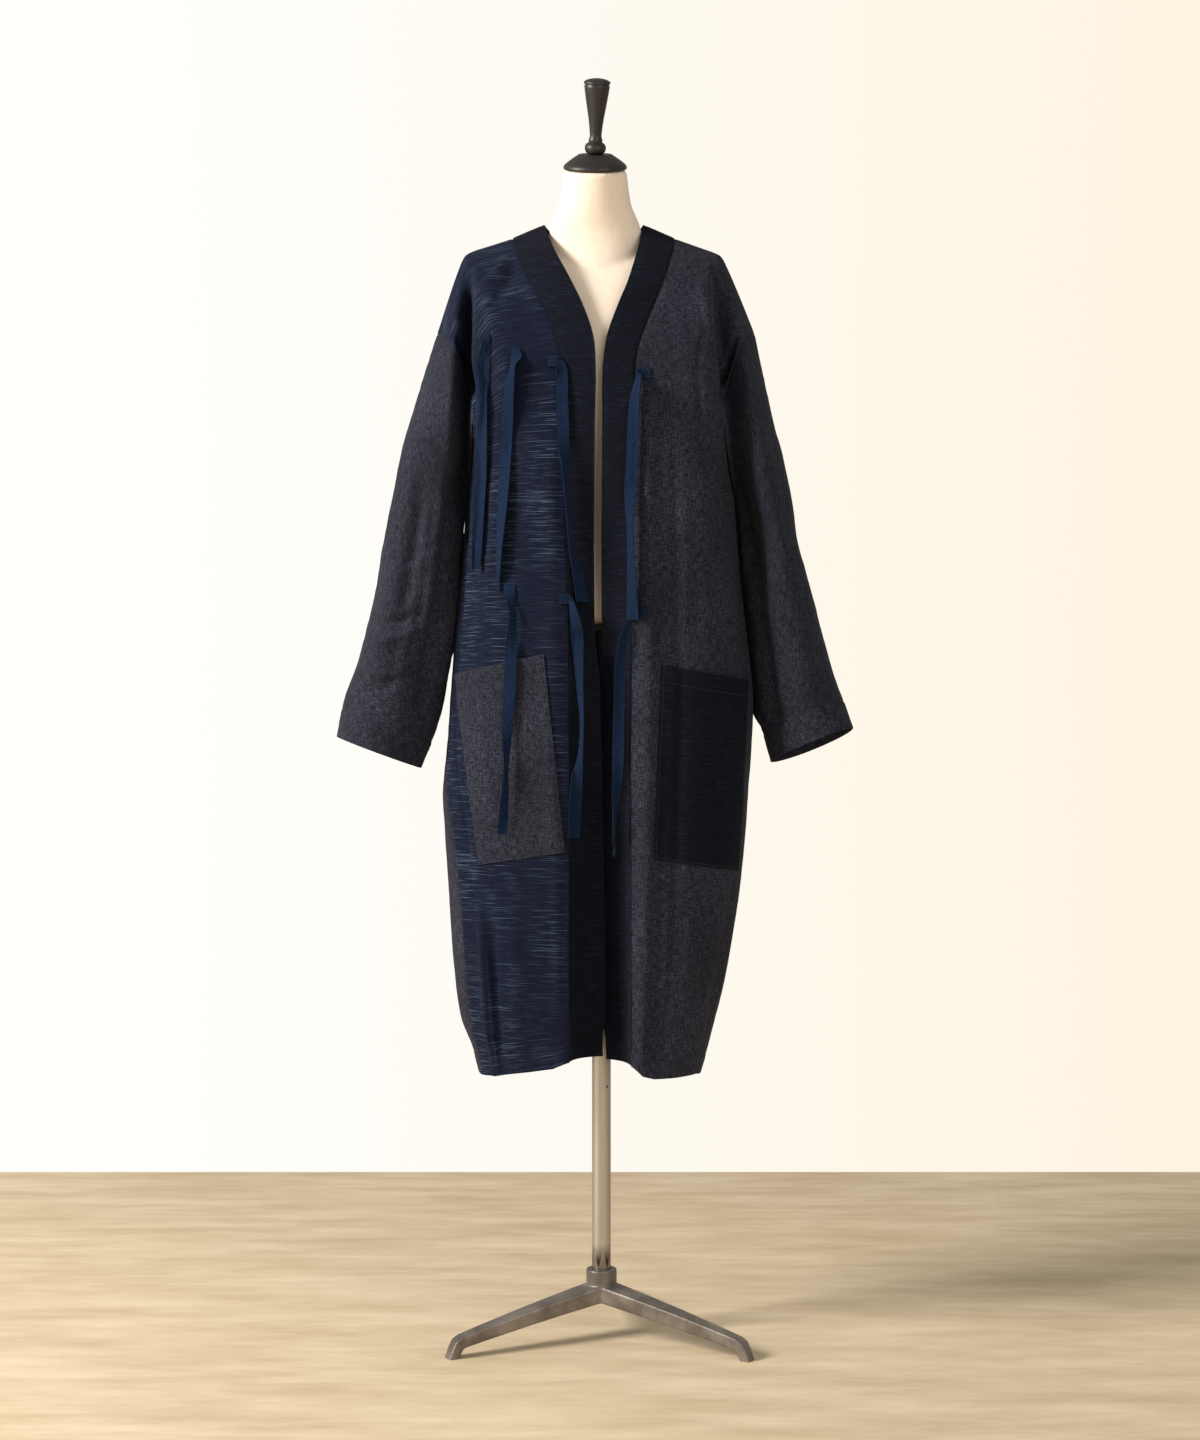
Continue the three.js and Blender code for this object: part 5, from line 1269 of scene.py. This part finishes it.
blue_tape = cloth_finish(
    "blue tie cotton", srgb(9, 24, 47), srgb(26, 50, 84),
    weft=(0.006, 0.0012, 0.42, 0.3, 0.35), warp=(0.012, 0.001, 0.45, 0.3, 0.3),
    flecks=(0.004, 0.001, 0.62, 0.1, 0.2))


def tie_strip(course, lift, number):
    """A tie's grid, from its lower end to its head; it is turned where its seen width is less."""
    top, low = course[0, 0], course[-1, 0]
    long = top - low
    course = np.column_stack([(top - course[:, 0]) / long, course[:, 1:]])
    f, across = np.linspace(0, 1, 121)[:, None], np.linspace(-1, 1, 9)[None]
    seen = np.clip(curve(course, 2, f) / TAPE_WIDTH, LEAST_SEEN, 1)
    pointed = seen[-1, 0] < POINTED_END
    turned = np.sqrt(1 - seen ** 2) * smooth(f / 0.06) * (1 - pointed * smooth((f - 0.86) / 0.14))
    x = curve(course, 1, f) + across * seen * TAPE_WIDTH / 2
    z = top - long * f + 0 * across
    off = HEAD_LIFT + (lift - HEAD_LIFT) * smooth((f - 0.04) / 0.14)
    touch = foremost(x, z) - off
    touch = np.minimum(touch, np.roll(touch, 1, 0))
    padded = np.pad(touch, ((TAPE_EVENED, TAPE_EVENED), (0, 0)), "edge")
    reach = np.lib.stride_tricks.sliding_window_view(padded, 2 * TAPE_EVENED + 1, 0).mean(-1)
    hang = np.minimum(reach, touch[:1] + FREE_FALL * long * f)
    free = smooth(f / 0.1)
    y = np.minimum(touch, hang * free + touch * (1 - free))
    y = y - TAPE - turned * TAPE_WIDTH * TURN_DEPTH * (1 + across * (-1) ** number)
    y = y - np.abs(TAPE_CRUMPLE * value_noise(12 * f + number, across, 100 + number)) * smooth(f / 0.08)
    return np.stack([x, y, z], -1)[::-1]


def tie_head(outer, inner, top, low):
    """The sewn end of a tie: a small square laid on the coat."""
    x, z = np.meshgrid(np.linspace(min(outer, inner), max(outer, inner), 9), np.linspace(low, top, 9))
    y = np.min([foremost(x + off, z + off) for off in (0, 1.5, -1.5)], axis=0) - HEAD_LIFT - TAPE
    return np.stack([x, y, z], -1)


for number, course in enumerate(TIE_COURSES, 1):
    grids = [tie_strip(np.array(course, float), TIE_LIFT[number - 1], number)]
    if number in TIE_HEADS:
        grids.append(tie_head(*TIE_HEADS[number]))
    walls = [wall(grid, grid_normals(grid, 1), TAPE, 1) for grid in grids]
    places = np.concatenate([flat_places(grid, 0) for grid in grids])
    tie = new_piece(f"tie_{number}_cloth", *join_shells(walls), uv=places, sharp=CLOTH_SHARP)
    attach(tie, "root")
    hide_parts(f"tie_{number}")
    long = (course[0][0] - course[-1][0]) / 1000
    sewn = []
    if number in TIE_HEADS:
        head, away = grids[1], grid_normals(grids[1], 1)
        lines = [seam_line(head, away, HEAD_STITCH, axis, end) for axis in (0, 1) for end in (False, True)]
        sewn = [sew(f"tie_{number}_stitches", lines)]
    paint(tie, blue_tape)


# ---- floor, light and camera ----
# A plain pale floor that ends behind the stand, a warm white room, a large soft light from the left
# front and a weak one from the right.

FLOOR_BACK, FLOOR_FRONT, FLOOR_SIDE = 1.085, 4.2, 4.0
middle = (ORIGIN + at_pole) / 1000
floor_mesh = bpy.data.meshes.new("floor")
corners = [
    (-FLOOR_SIDE, -FLOOR_FRONT), (FLOOR_SIDE, -FLOOR_FRONT), (FLOOR_SIDE, FLOOR_BACK), (-FLOOR_SIDE, FLOOR_BACK),
]
floor_mesh.from_pydata([(middle[0] + x, middle[1] + y, 0) for x, y in corners], [], [(0, 1, 2, 3)])
floor = add_object("floor", floor_mesh)
pale_floor, tree, shader = finish("pale floor", Roughness=0.6)
where = node(tree, "TexCoord").outputs["Object"]
drawn_out = stretched(tree, where, 2.2, 9.0, 1.0)
stains = noise(tree, drawn_out, 1.6, 10.0)
stains.node.inputs["Roughness"].default_value = 0.68
stained = ramp(tree, stains, 0.36, 0.64)
feed(tree, shader, {"Base Color": blend_colour(tree, stained, srgb(208, 186, 152), srgb(234, 215, 184))})
floor_mesh.materials.append(pale_floor)

world = bpy.data.worlds.new("warm white room")
bpy.context.scene.world = world
world.use_nodes = True
tree = world.node_tree
sky = tree.nodes["Background"]
feed(tree, sky, {"Color": srgb(255, 250, 238), "Strength": 0.36})
way = node(tree, "SeparateXYZ", {0: node(tree, "TexCoord").outputs["Generated"]}).outputs[0]
# The wall seen behind the stand carries painted light: whiter towards the left, where the light comes from, and
# warmer and darker towards the right.
wall_painted_light = blend_colour(tree, ramp(tree, way, -0.2, 0.28), srgb(255, 255, 252), srgb(254, 243, 224))
seen = node(tree, "Background", {"Color": wall_painted_light, "Strength": 1.0})
ray = node(tree, "LightPath").outputs["Is Camera Ray"]
choose = node(tree, "MixShader", {0: ray, 1: sky.outputs[0], 2: seen.outputs[0]})
feed(tree, tree.nodes["World Output"], {"Surface": choose.outputs[0]})


def soft_light(name, place, power, size):
    """A square area light that faces the middle of the coat."""
    light = bpy.data.lights.new(name, "AREA")
    light.energy, light.size, light.color = power, size, (1.0, 0.97, 0.92)
    lamp = add_object(name, light)
    lamp.location = place
    lamp.rotation_euler = (Vector((0, 0, 1.0)) - Vector(place)).to_track_quat("-Z", "Y").to_euler()


soft_light("key", (-3.4, -1.6, 2.5), 225.0, 1.2)
soft_light("fill", (1.7, -3.1, 1.9), 30.0, 2.0)

CAMERA_AWAY, CAMERA_HIGH = 3.0, 0.837
camera_data = bpy.data.cameras.new("camera")
camera_data.lens, camera_data.sensor_width = 55.15, 36.0
camera = add_object("camera", camera_data)
camera.location = (ORIGIN[0] / 1000, middle[1] - CAMERA_AWAY, CAMERA_HIGH)
camera.rotation_euler = (pi / 2, 0, 0)
bpy.context.scene.camera = camera
bpy.context.scene.view_settings.view_transform = "Standard"
